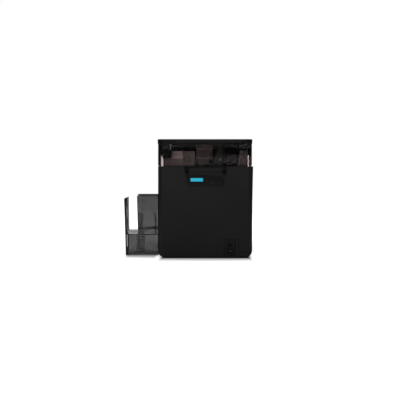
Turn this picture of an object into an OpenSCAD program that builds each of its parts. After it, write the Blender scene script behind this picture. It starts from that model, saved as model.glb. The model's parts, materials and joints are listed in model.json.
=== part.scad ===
// Desktop id card printer: a tower of thin panels round a vertical mechanism plate.
// X runs to the right, Y to the rear, Z up. The origin is on the floor, under the body's centre.

/* [Body] */
// Width across the side panels
body_w = 284; // [280:1:300]
// Depth from the door's face to the rear panel
body_d = 380; // [378:1:430]
// Height from the floor to the top of the cover
body_h = 356; // [354:1:372]
// Height of the rubber feet
foot_h = 2.5; // [2:0.5:7]
// Radius of the rubber feet
foot_r = 9; // [6:0.5:12]
// Thickness of the outer plastic panels
wall = 2.5; // [2:0.1:3]
// Radius of the vertical edges at the front
edge_r = 16; // [12:0.5:18]
// Radius of the lower front corners
corner_r = 18; // [8:0.5:20]
// Parting gap between door and cover
parting = 1.5; // [1:0.1:4]
// Clearance between loose neighbours
clear = 0.3; // [0.2:0.05:0.4]
// Running clearance of shafts and pins, on the radius
run = 0.05; // [0.02:0.01:0.1]

/* [Front door] */
// Depth of the door shell
door_d = 22; // [21:0.5:24]
// How far the grip flares out at the door's free edge
flare = 3.6; // [2:0.1:5]
// Left end of the door's recess, at the top
recess_left = -63; // [-66:1:-60]
// Right end of the door's recess, at the top
recess_right = 67; // [65:1:70]
// Depth of the recess below the door's top edge
recess_h = 60; // [58:1:64]
// How far the recess narrows on each side
recess_taper = 12; // [6:1:14]
// Height of the display panel
panel_h = 33; // [31:1:35]
// Left edge of the cut-out round the switch
notch_left = 57; // [54:1:60]
// Right edge of the cut-out round the switch
notch_right = 102; // [100:1:106]
// Top of the cut-out round the switch, above the floor
notch_top = 55.5; // [54:0.5:64]
// Height of the strip below the door's right leg
sill_top = 16; // [14:0.5:20]
// Distance of the door's hinge axis from the left side
door_axis_in = 8; // [7.8:0.1:8.6]
// Distance of the door's hinge axis behind the door's face
door_axis_back = 13; // [12.8:0.1:13.4]
// Height of the lower door hinge
lower_hinge = 40; // [36:1:50]
// Distance of the upper door hinge below the door's top
upper_hinge = 38.5; // [36:0.5:50]
// Radius of the door's hinge pins
door_pin_r = 2; // [1.5:0.1:2.4]

/* [Top cover] */
// Height of the cover's front wall
cover_h = 80; // [79:0.5:82]
// Length of the cover, from the front to its hinge axis
cover_l = 232; // [230:1:236]
// Radius of the cover's hinge barrel
barrel_r = 10; // [9.5:0.5:12]
// Height of the opaque band along the top
band_h = 13; // [11:0.5:16]
// Thickness of the opaque band
band_t = 1.2; // [1:0.1:1.5]
// Radius of the cover's hinge pins
cover_pin_r = 2.5; // [2:0.1:3]

/* [Display and keys] */
// Left edge of the display
lcd_left = -44; // [-45:0.5:-42]
// Width of the display
lcd_w = 38.5; // [36:0.5:42]
// Height of the display
lcd_h = 11.5; // [10:0.5:17]
// Height of the display's middle above the keys
lcd_up = 3.5; // [0:0.5:7]
// Places of the three keys along the panel
key_x = [14, 29, 44];
// Radius of the keys
key_r = 4.4; // [3.5:0.1:5]
// Travel of the keys
key_travel = 0.8; // [0.5:0.1:1]

/* [Switch] */
// Centre of the switch across the body
switch_x = 76.5; // [76:0.5:79]
// Height of the switch
switch_z = 26; // [25:0.5:28]
// Width of the switch
switch_w = 18; // [16:0.5:20]
// Height of the switch body
switch_h = 30; // [29:0.5:31]
// Depth of the recess round the switch
switch_recess = 6; // [4:0.5:6.5]

/* [Frame] */
// Thickness of the steel sheet
sheet = 1.5; // [1.2:0.1:2]
// Thickness of the mechanism plate
plate_t = 2; // [1.5:0.1:3]
// Distance from the door's face to the front of the mechanism plate
plate_back = 116; // [115:1:117]
// Gap between side panel and side plate
side_gap = 5.5; // [5:0.5:7]
// Width of the side plates' front flanges
flange_w = 7; // [5:0.5:9]
// Distance from the door's face to the front flanges
flange_back = 28.5; // [28.5:0.5:31]
// Distance from the cover's top down to the side plates' tops
side_plate_low = 47; // [44:1:56]

/* [Card path] */
// Height of the card path
card_z = 84; // [82:0.5:88]
// Width of a card
card_w = 54; // [54:0.1:54.2]
// Length of a card
card_l = 85.6; // [85.6:0.1:86]
// Thickness of a card
card_t = 0.8; // [0.76:0.01:0.9]
// Radius of the transport rollers
roller_r = 8; // [7:0.5:8.3]
// Radius of the heat roller
heat_r = 14; // [12:0.5:16]
// Radius of the platen roller under the print head
platen_r = 12; // [10:0.5:13]
// Radius of every shaft in the mechanism plate
shaft_r = 3; // [2.5:0.1:3.2]
// Distance of the feed roller from the left side
feed_in = 30; // [28:1:34]
// Places of the transport and pressure rollers
transport_x = -62; // [-66:1:-58]
press_x = -8; // [-10:1:-4]
// Distance of the turn-over unit's axis from the right side
flip_in = 60; // [58:1:61]
// Half length of the turn-over unit's guides
flip_half = 42; // [38:0.5:42]

/* [Film and ribbon] */
// Height of the film spools
film_z = 195; // [192:1:198]
// Half distance between the film spools
film_half = 72; // [70:1:74]
// Radius of the full film roll
film_full_r = 34; // [28:1:35]
// Radius of the used film roll
film_used_r = 22; // [16:1:34]
// Height of the ribbon spools above the cover's lower edge
ribbon_up = 19; // [18:0.5:20]
// Place of the ribbon supply spool
ribbon_supply_x = -54; // [-55:1:-52]
// Place of the ribbon take-up spool
ribbon_take_x = 84; // [83:0.5:86]
// Radius of the full ribbon roll
ribbon_full_r = 17; // [14:0.5:18]
// Radius of the used ribbon roll
ribbon_used_r = 11; // [9:0.5:13]
// Teeth of the ribbon drive gear
gear_teeth = 40; // [36:1:42]
// Teeth of the ribbon motor's pinion
pinion_teeth = 14; // [13:1:16]
// Gear module
gear_m = 1; // [0.9:0.05:1.05]

/* [Card hopper] */
// Width of the hopper beyond a card's length
hopper_room = 20.4; // [17:0.2:22]
// How far the hopper's end leans out at its top
hopper_lean = 5; // [0:0.5:6]
// Depth of the hopper
hopper_d = 66; // [63:0.5:70]
// Distance from the door's face to the hopper's front
hopper_back = 40; // [36:0.5:42]
// Height of the hopper's floor above the ground
hopper_floor = 1; // [0.5:0.5:8]
// Height of the hopper's tall panels
hopper_top = 187; // [170:1:230]
// Height of the end post
post_top = 178; // [150:1:188]
// Width of the end post
post_w = 6.5; // [5:0.5:14]
// Width of the finger slot
slot_w = 33.5; // [20:0.5:36]
// Height of the lower box at the front of the finger slot
box_top = 67; // [62:0.5:74]
// How much higher the lower box is at the rear of the slot
rear_rise = 7;
// How far the rear panel reaches past the front one, behind the slot
rear_step = 8; // [0:0.5:8]
// Thickness of the hopper's walls
hopper_wall = 2.5; // [2:0.1:3]

/* [Rear] */
// Size of the fan frame
fan_size = 80; // [70:1:80]
// Thickness of the fan frame
fan_t = 25; // [20:1:25]
// Height of the fan's axis
fan_z = 220; // [200:1:240]
// Place of the fan's axis
fan_x = 60; // [50:1:70]

/* [Hidden] */
$fn = 48;

half_w = body_w / 2;
face_y = -body_d / 2;
back_y = body_d / 2;
floor_z = foot_h;
inner_w = half_w - wall;
cover_z = body_h - cover_h;
door_top = cover_z - parting;
door_back = face_y + door_d;
door_hinge_z = [lower_hinge, door_top - upper_hinge];
axis_x = -half_w + door_axis_in;
axis_y = face_y + door_axis_back;
cover_axis_y = face_y + cover_l;
cover_axis_z = body_h - barrel_r;
cap_y = cover_axis_y + barrel_r + 1;
panel_front = door_back + 4;
pan_top = floor_z + sheet;
side_x = inner_w - side_gap;
side_plate_h = body_h - side_plate_low;
ribbon_z = cover_z + ribbon_up;
feed_x = -half_w + feed_in;
flip_x = half_w - flip_in;
lip_up = 6;
lip_t = 2;
side_in = side_x - sheet;
flange_y = face_y + flange_back;
plate_y = face_y + plate_back;
plate_rear = plate_y + plate_t;
mid_y = plate_y - 41;
card_front = mid_y - card_w / 2;
card_rear = mid_y + card_w / 2;
low_z = card_z - card_t / 2 - roller_r;
high_z = card_z + card_t / 2 + roller_r;
heat_z = card_z + card_t / 2 + heat_r;
platen_z = cover_z - 2 - platen_r;
head_bottom = cover_z - 1.4;
shaft_end = plate_rear + 20;
motor_face = plate_rear + 15;
motor_side = 42;
motor_t = 34;
pulley_r = 9;
belt_t = 1.5;
bush_r = shaft_r + 3;
bush_flange_r = 8;
bush_flange_t = 1.5;
shaft_front = mid_y - 25;
hopper_right = -half_w - 0.2;
hopper_left = hopper_right - card_l - hopper_room;
hopper_front = face_y + hopper_back;
hopper_rear = hopper_front + hopper_d;
slot_left = hopper_left + post_w;
slot_right = slot_left + slot_w;
panel_top_z = door_top - recess_h + panel_h;
panel_low_z = door_top - recess_h;
panel_mid_z = panel_low_z + panel_h / 2;
bezel_y = face_y + 1;
bezel_t = 3;
gear_dist = gear_m * (gear_teeth + pinion_teeth) / 2 + 0.15;
pinion_z = ribbon_z - gear_dist;
gear_y = plate_rear + bush_flange_t + clear;
gear_t = 6;
post_r = 3;
gear_reach = gear_m * (gear_teeth / 2 + 1) + post_r + clear;
spools = [[-film_half, film_z], [film_half, film_z],
    [ribbon_supply_x, ribbon_z], [ribbon_take_x, ribbon_z]];
peel_x = 46;
peel_r = 9;
rollers = [[feed_x, low_z], [feed_x, high_z], [transport_x, low_z], [transport_x, high_z],
    [press_x, low_z], [press_x, heat_z], [press_x, platen_z], [peel_x, ribbon_z], [flip_x, card_z]];
shafts = concat(spools, rollers);
motors = [[press_x, low_z], [press_x, platen_z], [film_half, film_z], [flip_x, card_z],
    [ribbon_take_x, pinion_z]];
head_axis = [17, cover_z + 56];
slot_h = 6;
foot_x = half_w - 27;
foot_y = body_d / 2 - 40;
out_slot = [card_z - 26, card_z - 12];
screw_r = 1.5;
side_low = floor_z + 5.5;
side_top = cover_z - 0.9;
screw_x = inner_w - 6;
screw_z = [for (i = [0:4]) 16 + i * (body_h - 26) / 4];
inlet_x = [-110, -82.5];
inlet_z = [70, 90];
usb_x = [-10, 2];
lan_x = [12, 28];
board_z = pan_top + 10.5;
board_top = board_z + 1.6;

// A block between two corners, given as a span on each axis.
module span(x, y, z) {
    translate([x[0], y[0], z[0]])
        cube([x[1] - x[0], y[1] - y[0], z[1] - z[0]]);
}

// Round bars along each axis, from one place to another.
module bar_x(y, z, r, x) {
    translate([x[0], y, z])
        rotate([0, 90, 0])
            cylinder(r = r, h = x[1] - x[0]);
}
module bar_y(x, z, r, y) {
    translate([x, y[1], z])
        rotate([90, 0, 0])
            cylinder(r = r, h = y[1] - y[0]);
}
module bar_z(x, y, r, z) {
    translate([x, y, z[0]])
        cylinder(r = r, h = z[1] - z[0]);
}

// An outline drawn in X and Z, given depth along Y.
module front_shape(y) {
    translate([0, y[1], 0])
        rotate([90, 0, 0])
            linear_extrude(height = y[1] - y[0])
                children();
}

// An outline drawn in Y and Z, given width along X.
module side_shape(x) {
    translate([x[0], 0, 0])
        rotate([90, 0, 90])
            linear_extrude(height = x[1] - x[0])
                children();
}

// Plan of the front shells: straight sides with rounded front edges, inset by a wall.
module plan(inset, y_end, extra) {
    r = edge_r - inset;
    right = half_w + extra;
    for (s = [[-half_w + inset + r, 0], [right - inset - r, 1]])
        translate([s[0], face_y + inset + r])
            circle(r = r);
    translate([-half_w + inset + r, face_y + inset])
        square([half_w + right - 2 * inset - 2 * r, y_end - face_y - inset]);
    translate([-half_w + inset, face_y + inset + r])
        square([half_w + right - 2 * inset, y_end - face_y - inset - r]);
}
module plan_block(inset, y_end, z, extra = 0) {
    translate([0, 0, z[0]])
        linear_extrude(height = z[1] - z[0])
            plan(inset, y_end, extra);
}

// Front outline of the closed front: rounded lower corners and a flare at the upper right.
module front_outline(inset, top) {
    r = corner_r - inset;
    low = floor_z + inset;
    translate([-half_w + inset + r, low + r])
        circle(r = r);
    translate([half_w - inset - r, low + r])
        circle(r = r);
    translate([-half_w + inset + r, low])
        square([body_w - 2 * inset - 2 * r, r + 1]);
    polygon(concat(
        [[-half_w + inset, low + r], [half_w - inset, low + r]],
        [for (i = [0:6]) let (u = i / 6, z = 60 + (top - 60) * u)
            [half_w - inset + flare * u * u, z]],
        [[-half_w + inset, top]]));
}

// Tapered recess in the door, grown outward by a margin.
module recess_outline(low, top, grow) {
    function inset_at(z) = recess_taper * (door_top - z) / recess_h;
    polygon([
        [recess_left + inset_at(low) - grow, low - grow],
        [recess_right - inset_at(low) + grow, low - grow],
        [recess_right - inset_at(top) + grow, top + grow],
        [recess_left + inset_at(top) - grow, top + grow]]);
}

// A row of vent slots in a side or rear panel.
module side_vents(x, y0, z0, count) {
    for (i = [0:count - 1])
        span(x, [y0 + i * 8, y0 + i * 8 + 3], [z0, z0 + 50]);
}

module base_pan() {
    w = side_x + 2;
    color("silver")
        union() {
            span([-w, w], [panel_front, back_y - wall - clear], [floor_z, pan_top]);
            for (s = [-1, 1])
                span([min(s * w, s * (w - sheet)), max(s * w, s * (w - sheet))],
                    [panel_front, back_y - wall - clear], [floor_z, floor_z + 9]);
        }
}

module rubber_feet() {
    color([0.1, 0.1, 0.1])
        for (x = [-foot_x, foot_x], y = [-foot_y, foot_y])
            bar_z(x, y, foot_r, [0, foot_h]);
}

module side_outline() {
    polygon([[panel_front, side_low], [back_y, side_low], [back_y, body_h - wall],
        [cap_y, body_h - wall], [cap_y, side_top], [panel_front, side_top]]);
}

// Ledge along a side panel's lower edge, up to the pan's upstand.
module side_ledge(s) {
    scale_side(s)
        span([side_x + 2 + clear, inner_w + 0.5], [panel_front, back_y - wall - clear],
            [side_low, side_low + wall]);
}

// Upstand along a side panel's top, inside the cover's lower edge.
module side_lip(s) {
    y = [panel_front, cap_y];
    x = inner_w - clear - lip_t;
    scale_side(s) {
        span([x, inner_w], y, [door_top - 12, side_top]);
        span([x, inner_w - clear], y, [door_top - 1, cover_z + lip_up]);
    }
}

module side_panel_left() {
    color([0.11, 0.11, 0.11])
        difference() {
            union() {
                side_shape([-half_w, -inner_w])
                    side_outline();
                side_lip(-1);
                side_ledge(-1);
            }
            span([-half_w - 1, -inner_w + 1], [card_front - 1.5, card_rear + 1.5],
                [card_z - slot_h / 2, card_z + slot_h / 2]);
            span([-half_w - 1, -inner_w + 1], [card_front - 1.5, card_rear + 1.5], out_slot);
            side_vents([-half_w - 1, -inner_w + 1], cap_y + 35, body_h - 126, 8);
        }
}

module side_panel_right() {
    color([0.11, 0.11, 0.11])
        difference() {
            union() {
                side_shape([inner_w, half_w])
                    side_outline();
                side_lip(1);
                side_ledge(1);
            }
            side_vents([inner_w - 1, half_w + 1], cap_y + 35, body_h - 126, 8);
            side_vents([inner_w - 1, half_w + 1], cap_y + 35, 40, 8);
        }
}

module rear_panel() {
    y = [back_y - wall - 1, back_y + 1];
    color([0.11, 0.11, 0.11])
        difference() {
            span([-inner_w, inner_w], [back_y - wall, back_y], [floor_z, body_h - wall]);
            span([inlet_x[0], inlet_x[1]], y, inlet_z);
            span([usb_x[0] - 0.5, usb_x[1] + 0.5], y, [board_top - 0.5, board_top + 11.5]);
            span([lan_x[0] - 0.5, lan_x[1] + 0.5], y, [board_top - 0.5, board_top + 14.5]);
            for (i = [-4:4])
                let (h = fan_size * 0.42, w = sqrt(h * h - 49 * i * i))
                    span([fan_x - w, fan_x + w], y, [fan_z + 7 * i - 1.8, fan_z + 7 * i + 1.8]);
            for (x = [-screw_x, screw_x], z = screw_z)
                bar_y(x, z, screw_r, y);
            for (s = [-1, 1])
                scale_side(s)
                    span([side_x + 2, inner_w + 1], y, [floor_z - 1, side_low]);
            for (i = [0:6])
                span([-inner_w + 30, -40], y, [body_h - 106 + i * 9, body_h - 102 + i * 9]);
        }
}

module rear_top_cap() {
    color([0.1, 0.1, 0.1])
        union() {
            span([-half_w, half_w], [cap_y, back_y], [body_h - wall, body_h]);
            span([-side_in + 1, side_in - 1], [cap_y + 1, cap_y + 1 + wall],
                [side_plate_h - 12, body_h - wall]);
        }
}

// Fixed corner below the door, with the switch recess and two tabs on the pan.
module front_plinth() {
    left = notch_left + 1;
    right = notch_right - 1;
    top = notch_top - 1;
    color([0.11, 0.11, 0.11])
        difference() {
            union() {
                intersection() {
                    plan_block(0, door_back, [floor_z, top]);
                    front_shape([face_y, door_back])
                        front_outline(0, door_top);
                    union() {
                        span([left, right], [face_y, door_back], [floor_z, top]);
                        span([left, half_w + 1], [face_y, door_back], [floor_z, sill_top]);
                    }
                }
                for (x = [left + 1, right + 4])
                    span([x, x + 4], [door_back - 1, panel_front + 8], [pan_top, pan_top + 4]);
            }
            span([left + 6.5, right - 8.5], [face_y - 1, face_y + switch_recess],
                [floor_z + 2, notch_top - 4.5]);
            span([switch_x - switch_w / 2, switch_x + switch_w / 2],
                [face_y, door_back + 1], [switch_z - switch_h / 2, switch_z + switch_h / 2]);
        }
}

module side_plate(s) {
    window = s < 0;
    color([0.72, 0.70, 0.70])
        difference() {
            union() {
                scale_side(s) {
                    span([side_in, side_x], [flange_y, cap_y + 8], [pan_top, side_plate_h]);
                    span([side_x - flange_w, side_x], [flange_y, flange_y + sheet],
                        [pan_top, side_plate_h]);
                    span([side_in - 10, side_x], [flange_y, cap_y + 8], [pan_top, pan_top + sheet]);
                    span([side_in, side_x], [cover_axis_y - 6.5, cover_axis_y + 6.5],
                        [side_plate_h - 1, cover_axis_z]);
                    bar_x(cover_axis_y, cover_axis_z, 6.5, [side_in, side_x]);
                }
            }
            scale_side(s)
                bar_x(cover_axis_y, cover_axis_z, cover_pin_r, [side_in - 1, side_x + 1]);
            if (window)
                span([-side_x - 1, -side_in + 12], [card_front - 6, card_rear + 8],
                    [out_slot[0] - 4, card_z + 6]);
            else
                span([side_x - flange_w - 1, side_x - 4.5], [flange_y - 1, flange_y + sheet],
                    [door_top - 6, side_plate_h + 1]);
        }
}
module scale_side(s) {
    if (s < 0)
        mirror([1, 0, 0])
            children();
    else
        children();
}
module side_plate_left() {
    side_plate(-1);
}
module side_plate_right() {
    side_plate(1);
}

module mechanism_plate() {
    color([0.62, 0.62, 0.62])
        difference() {
            union() {
                span([-side_in, side_in], [plate_y, plate_rear], [pan_top + sheet, cover_z + 32]);
                span([-100, peel_x + 4], [plate_y, plate_rear], [cover_z + 31, cover_z + 70]);
            }
            for (p = shafts)
                bar_y(p[0], p[1], bush_r, [plate_y - 1, plate_rear + 1]);
        }
}

// One flanged bush for each shaft, all alike.
module shaft_bushes() {
    color([0.75, 0.6, 0.3])
        for (p = shafts)
            difference() {
                union() {
                    bar_y(p[0], p[1], bush_r, [plate_y, plate_rear]);
                    bar_y(p[0], p[1], bush_flange_r, [plate_rear, plate_rear + bush_flange_t]);
                }
                bar_y(p[0], p[1], shaft_r + run, [plate_y - 1, plate_rear + bush_flange_t + 1]);
            }
}

module power_supply() {
    y = [cap_y + 17, back_y - 12];
    color([0.7, 0.7, 0.72])
        difference() {
            span([-side_in + 7.5, -30], y, [pan_top, pan_top + 44]);
            for (i = [0:7])
                span([-side_in + 17.5, -40], [y[0] + 12 + i * 9, y[0] + 16 + i * 9],
                    [pan_top + 41, pan_top + 45]);
        }
}

module main_board() {
    right = side_in - 7.5;
    front = cap_y + 27;
    color([0.1, 0.3, 0.15])
        difference() {
            union() {
                span([-20, right], [front, back_y - 6], [board_z, board_top]);
                for (x = [-14, right - 6], y = [front + 6, back_y - 12])
                    bar_z(x, y, 3, [pan_top, board_z]);
                span([40, 66], [front + 20, front + 46], [board_top, board_top + 3]);
                span([80, 100], [front + 15, front + 45], [board_top, board_top + 12]);
                span([5, 30], [front + 30, front + 60], [board_top, board_top + 2]);
                span([usb_x[0], usb_x[1]], [back_y - 18, back_y], [board_top, board_top + 11]);
                span([lan_x[0], lan_x[1]], [back_y - 18, back_y], [board_top, board_top + 14]);
            }
            span([usb_x[0] + 1.5, usb_x[1] - 1.5], [back_y - 12, back_y + 1],
                [board_top + 1.5, board_top + 9.5]);
            span([lan_x[0] + 1.5, lan_x[1] - 1.5], [back_y - 12, back_y + 1],
                [board_top + 1.5, board_top + 12.5]);
        }
}

fan_front = back_y - wall - clear - fan_t;
fan_rear = back_y - wall - clear;
module fan_frame() {
    h = fan_size / 2;
    color([0.12, 0.12, 0.12])
        difference() {
            union() {
                difference() {
                    span([fan_x - h, fan_x + h], [fan_front, fan_rear], [fan_z - h, fan_z + h]);
                    bar_y(fan_x, fan_z, h - 2, [fan_front - 1, fan_rear + 1]);
                }
                bar_y(fan_x, fan_z, 15, [fan_rear - 3, fan_rear]);
                for (a = [45:90:315])
                    translate([fan_x, 0, fan_z])
                        rotate([0, a, 0])
                            span([12, h - 1], [fan_rear - 3, fan_rear], [-2, 2]);
            }
            bar_y(fan_x, fan_z, 2 + run, [fan_rear - 4, fan_rear + 1]);
            for (x = [-1, 1], z = [-1, 1])
                bar_y(fan_x + x * (h - 5), fan_z + z * (h - 5), 2.1, [fan_front - 1, fan_rear + 1]);
        }
}

module fan_rotor() {
    h = fan_size / 2;
    color([0.15, 0.15, 0.15])
        union() {
            bar_y(fan_x, fan_z, 16, [fan_front + 2, fan_rear - 4]);
            bar_y(fan_x, fan_z, 2, [fan_rear - 5, fan_rear - 0.5]);
            for (i = [0:6])
                translate([fan_x, (fan_front + fan_rear) / 2 - 1.5, fan_z])
                    rotate([0, i * 360 / 7, 0])
                        rotate([35, 0, 0])
                            span([12, h - 4], [-10, 10], [-0.8, 0.8]);
        }
}

module power_inlet() {
    color([0.08, 0.08, 0.08])
        difference() {
            union() {
                span([inlet_x[0] - 4, inlet_x[1] + 4], [back_y, back_y + 2],
                    [inlet_z[0] - 3, inlet_z[1] + 3]);
                span([inlet_x[0] + 0.2, inlet_x[1] - 0.2], [back_y - 22, back_y],
                    [inlet_z[0] + 0.2, inlet_z[1] - 0.2]);
            }
            difference() {
                span([inlet_x[0] + 2, inlet_x[1] - 2], [back_y - 16, back_y + 3],
                    [inlet_z[0] + 2, inlet_z[1] - 2]);
                for (p = [[-7, -2], [7, -2], [0, 3]])
                    span([(inlet_x[0] + inlet_x[1]) / 2 + p[0] - 1, (inlet_x[0] + inlet_x[1]) / 2 + p[0] + 1],
                        [back_y - 17, back_y - 4],
                        [(inlet_z[0] + inlet_z[1]) / 2 + p[1] - 2, (inlet_z[0] + inlet_z[1]) / 2 + p[1] + 2]);
            }
        }
}

// Two grooved rails carry the card's long edges from the hopper to the turn-over unit.
module card_guide_rails() {
    left = -inner_w + clear;
    right = flip_x - flip_half - 6;
    groove = [card_z - 1, card_z + 1];
    ties = [[left, left + 8], [feed_x + 22, feed_x + 28], [right - 8, right]];
    color([0.2, 0.2, 0.2])
        difference() {
            union() {
                span([left, right], [card_front - 5, card_front + 0.5], [card_z - 4, card_z + 4]);
                span([left, right], [card_rear - 0.5, card_rear + 5], [card_z - 4, card_z + 4]);
                for (t = ties) {
                    span(t, [card_front - 5, card_rear + 5], [card_z - 8, card_z - 4]);
                }
                for (t = [ties[1], ties[2]])
                    span(t, [card_rear + 4, plate_y], [card_z - 8, card_z + 4]);
            }
            span([left - 1, right + 1], [card_front - 0.5, card_rear + 0.5], groove);
        }
}

module film_cassette_frame() {
    half = film_half + film_full_r + 6;
    low = film_z - film_full_r - 8;
    top = film_z + film_full_r + 6;
    color([0.16, 0.16, 0.17])
        difference() {
            union() {
                front_shape([mid_y - 35, mid_y - 31])
                    polygon([[-half, low + 8], [-half + 8, low], [half - 8, low], [half, low + 8],
                        [half, top - 12], [half - 12, top], [-half + 12, top], [-half, top - 12]]);
                for (s = [-1, 1])
                    span([min(s * half, s * (half - 3)), max(s * half, s * (half - 3))],
                        [mid_y - 32, plate_y], [film_z - 30, film_z + 26]);
                for (x = [-14, 14])
                    span([x - 2, x + 2], [mid_y - 47, mid_y - 34], [film_z - 20, film_z + 20]);
                span([-16, 16], [mid_y - 49, mid_y - 46], [film_z - 20, film_z + 20]);
            }
            for (s = [-1, 1])
                bar_y(s * film_half, film_z, 9 + run, [mid_y - 36, mid_y - 30]);
        }
}

// Ribbon cassette: left grip and spool plate, right end block, joined behind the print head.
module ribbon_cassette_frame() {
    z0 = cover_z;
    left = -side_in + 6.5;
    right = side_in - 1.5;
    grip = ribbon_supply_x - 12;
    color([0.55, 0.5, 0.5])
        difference() {
            union() {
                span([left, grip], [mid_y - 37, mid_y - 31], [z0, z0 + 22]);
                span([left + 24, grip], [mid_y - 37, mid_y - 31], [z0 + 21, z0 + 45]);
                span([grip - 1, grip + 35], [mid_y - 35, mid_y - 31], [z0, z0 + 45]);
                span([left, grip - 9], [mid_y - 32, plate_y - 3], [z0, z0 + 22]);
                span([left, right], [plate_y - 6, plate_y - 3], [z0 + 4, z0 + 36]);
                front_shape([mid_y - 35, plate_y - 3])
                    polygon([[ribbon_take_x + 16, z0], [right, z0], [right, z0 + 48],
                        [ribbon_take_x + 24, z0 + 48]]);
                for (x = [left + 2, right - 10.5])
                    span([x, x + 8], [plate_y - 4, plate_y], [z0 + 10, z0 + 26]);
            }
            bar_y(ribbon_supply_x, ribbon_z, 9 + run, [mid_y - 36, mid_y - 30]);
            for (x = [ribbon_supply_x, ribbon_take_x, peel_x])
                bar_y(x, ribbon_z, shaft_r + 2, [plate_y - 7, plate_y - 2]);
        }
}

module head_duct() {
    z = [cover_z + 46, cover_z + 66];
    color([0.05, 0.05, 0.05])
        difference() {
            span([-99, -31], [mid_y - 35, plate_y], z);
            span([-96, -60], [mid_y - 36, mid_y + 20], [z[0] + 3, z[1] - 3]);
        }
}

module head_pivot_shaft() {
    color([0.75, 0.75, 0.76])
        union() {
            bar_y(head_axis[0], head_axis[1], shaft_r, [mid_y - 33, plate_y]);
            bar_y(head_axis[0], head_axis[1], 6, [plate_y - 7, plate_y]);
        }
}

// Thermal print head in its holder, hung on the pivot shaft above the platen.
module print_head() {
    x = [-28, 25];
    color([0.3, 0.27, 0.26])
        difference() {
            union() {
                span(x, [mid_y - 27, plate_y - 10], [cover_z + 18, cover_z + 66]);
                span([x[0], 12], [mid_y - 27, plate_y - 10], [head_bottom + 4, cover_z + 19]);
                span([press_x - 4, press_x + 4], [mid_y - 27, plate_y - 10],
                    [head_bottom, head_bottom + 5]);
                for (i = [0:4])
                    span([x[0] + 4 + i * 9, x[0] + 6 + i * 9], [mid_y - 29, mid_y - 26],
                        [cover_z + 28, cover_z + 48]);
            }
            bar_y(head_axis[0], head_axis[1], shaft_r + run, [mid_y - 30, plate_y]);
            span([-20, 6], [mid_y - 24, plate_y - 14], [cover_z + 55, cover_z + 67]);
        }
}

// Stepper motors on standoffs behind the plate, each with a bore for the shaft that it turns.
module drive_motors() {
    h = motor_side / 2;
    color([0.2, 0.2, 0.21])
        for (m = motors)
            difference() {
                union() {
                    span([m[0] - h, m[0] + h], [motor_face, motor_face + motor_t],
                        [m[1] - h, m[1] + h]);
                    for (x = [-15.5, 15.5], z = [-15.5, 15.5])
                        if (norm([m[0] + x - ribbon_take_x, m[1] + z - ribbon_z]) > gear_reach)
                            bar_y(m[0] + x, m[1] + z, post_r, [plate_rear, motor_face]);
                    bar_y(m[0], m[1], 11, [motor_face - 1, motor_face]);
                }
                bar_y(m[0], m[1], shaft_r + run, [motor_face - 2, shaft_end + 1]);
            }
}

module belt_loop(r) {
    for (x = [feed_x, press_x])
        translate([x, low_z])
            circle(r = r);
    translate([feed_x, low_z - r])
        square([press_x - feed_x, 2 * r]);
}
module transport_belt() {
    color([0.12, 0.12, 0.12])
        difference() {
            front_shape([gear_y + 1.5, gear_y + 7.5])
                belt_loop(pulley_r + 0.2 + belt_t);
            front_shape([gear_y + 1, gear_y + 8])
                belt_loop(pulley_r + 0.2);
        }
}

// A roller on its shaft; a driven one has a flanged pulley behind the plate.
module roller(x, z, r, driven, end) {
    union() {
        bar_y(x, z, shaft_r, [shaft_front, end]);
        bar_y(x, z, r, [mid_y - 23, mid_y + 23]);
        if (driven) {
            bar_y(x, z, pulley_r, [gear_y, gear_y + 9]);
            bar_y(x, z, pulley_r + 2, [gear_y, gear_y + 1]);
            bar_y(x, z, pulley_r + 2, [gear_y + 8, gear_y + 9]);
        }
    }
}
idle_end = plate_rear + bush_flange_t + 1;
belt_end = gear_y + 10;
module feed_roller() {
    color([0.25, 0.25, 0.25])
        roller(feed_x, low_z, roller_r, true, belt_end);
}
module cleaning_roller() {
    color([0.2, 0.45, 0.7])
        roller(feed_x, high_z, roller_r, false, idle_end);
}
module transport_roller() {
    color([0.25, 0.25, 0.25])
        roller(transport_x, low_z, roller_r, true, belt_end);
}
module nip_roller() {
    color([0.3, 0.3, 0.3])
        roller(transport_x, high_z, roller_r, false, idle_end);
}
module pressure_roller() {
    color([0.25, 0.25, 0.25])
        roller(press_x, low_z, roller_r, true, shaft_end);
}
module heat_roller() {
    color([0.7, 0.35, 0.25])
        roller(press_x, heat_z, heat_r, false, idle_end);
}
module platen_roller() {
    color([0.2, 0.2, 0.2])
        roller(press_x, platen_z, platen_r, false, shaft_end);
}
module peel_roller() {
    color([0.6, 0.6, 0.6])
        roller(peel_x, ribbon_z, peel_r, false, idle_end);
}

// Involute gear outline with a little backlash; phase is the angle of its first tooth.
function involute(base, t) = [base * (cos(t) + t * PI / 180 * sin(t)),
    base * (sin(t) - t * PI / 180 * cos(t))];
function turned(p, a) = [p[0] * cos(a) - p[1] * sin(a), p[0] * sin(a) + p[1] * cos(a)];
module gear_outline(teeth, phase) {
    pitch = gear_m * teeth / 2;
    base = pitch * cos(20);
    tip = pitch + 0.9 * gear_m;
    root = pitch - 1.2 * gear_m;
    t_tip = sqrt(pow(tip / base, 2) - 1) * 180 / PI;
    lean = (tan(20) - 20 * PI / 180) * 180 / PI;
    half = 90 / teeth + lean - 0.1 / pitch * 180 / PI;
    flank = [for (i = [0:4]) involute(base, t_tip * i / 4)];
    points = [for (k = [0:teeth - 1]) let (c = 360 * k / teeth + phase) each concat(
        [turned([root, 0], c - half - 0.3)],
        [for (p = flank) turned([p[0], p[1]], c - half)],
        [for (i = [4:-1:0]) turned([flank[i][0], -flank[i][1]], c + half)],
        [turned([root, 0], c + half + 0.3)])];
    polygon(points);
}

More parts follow.
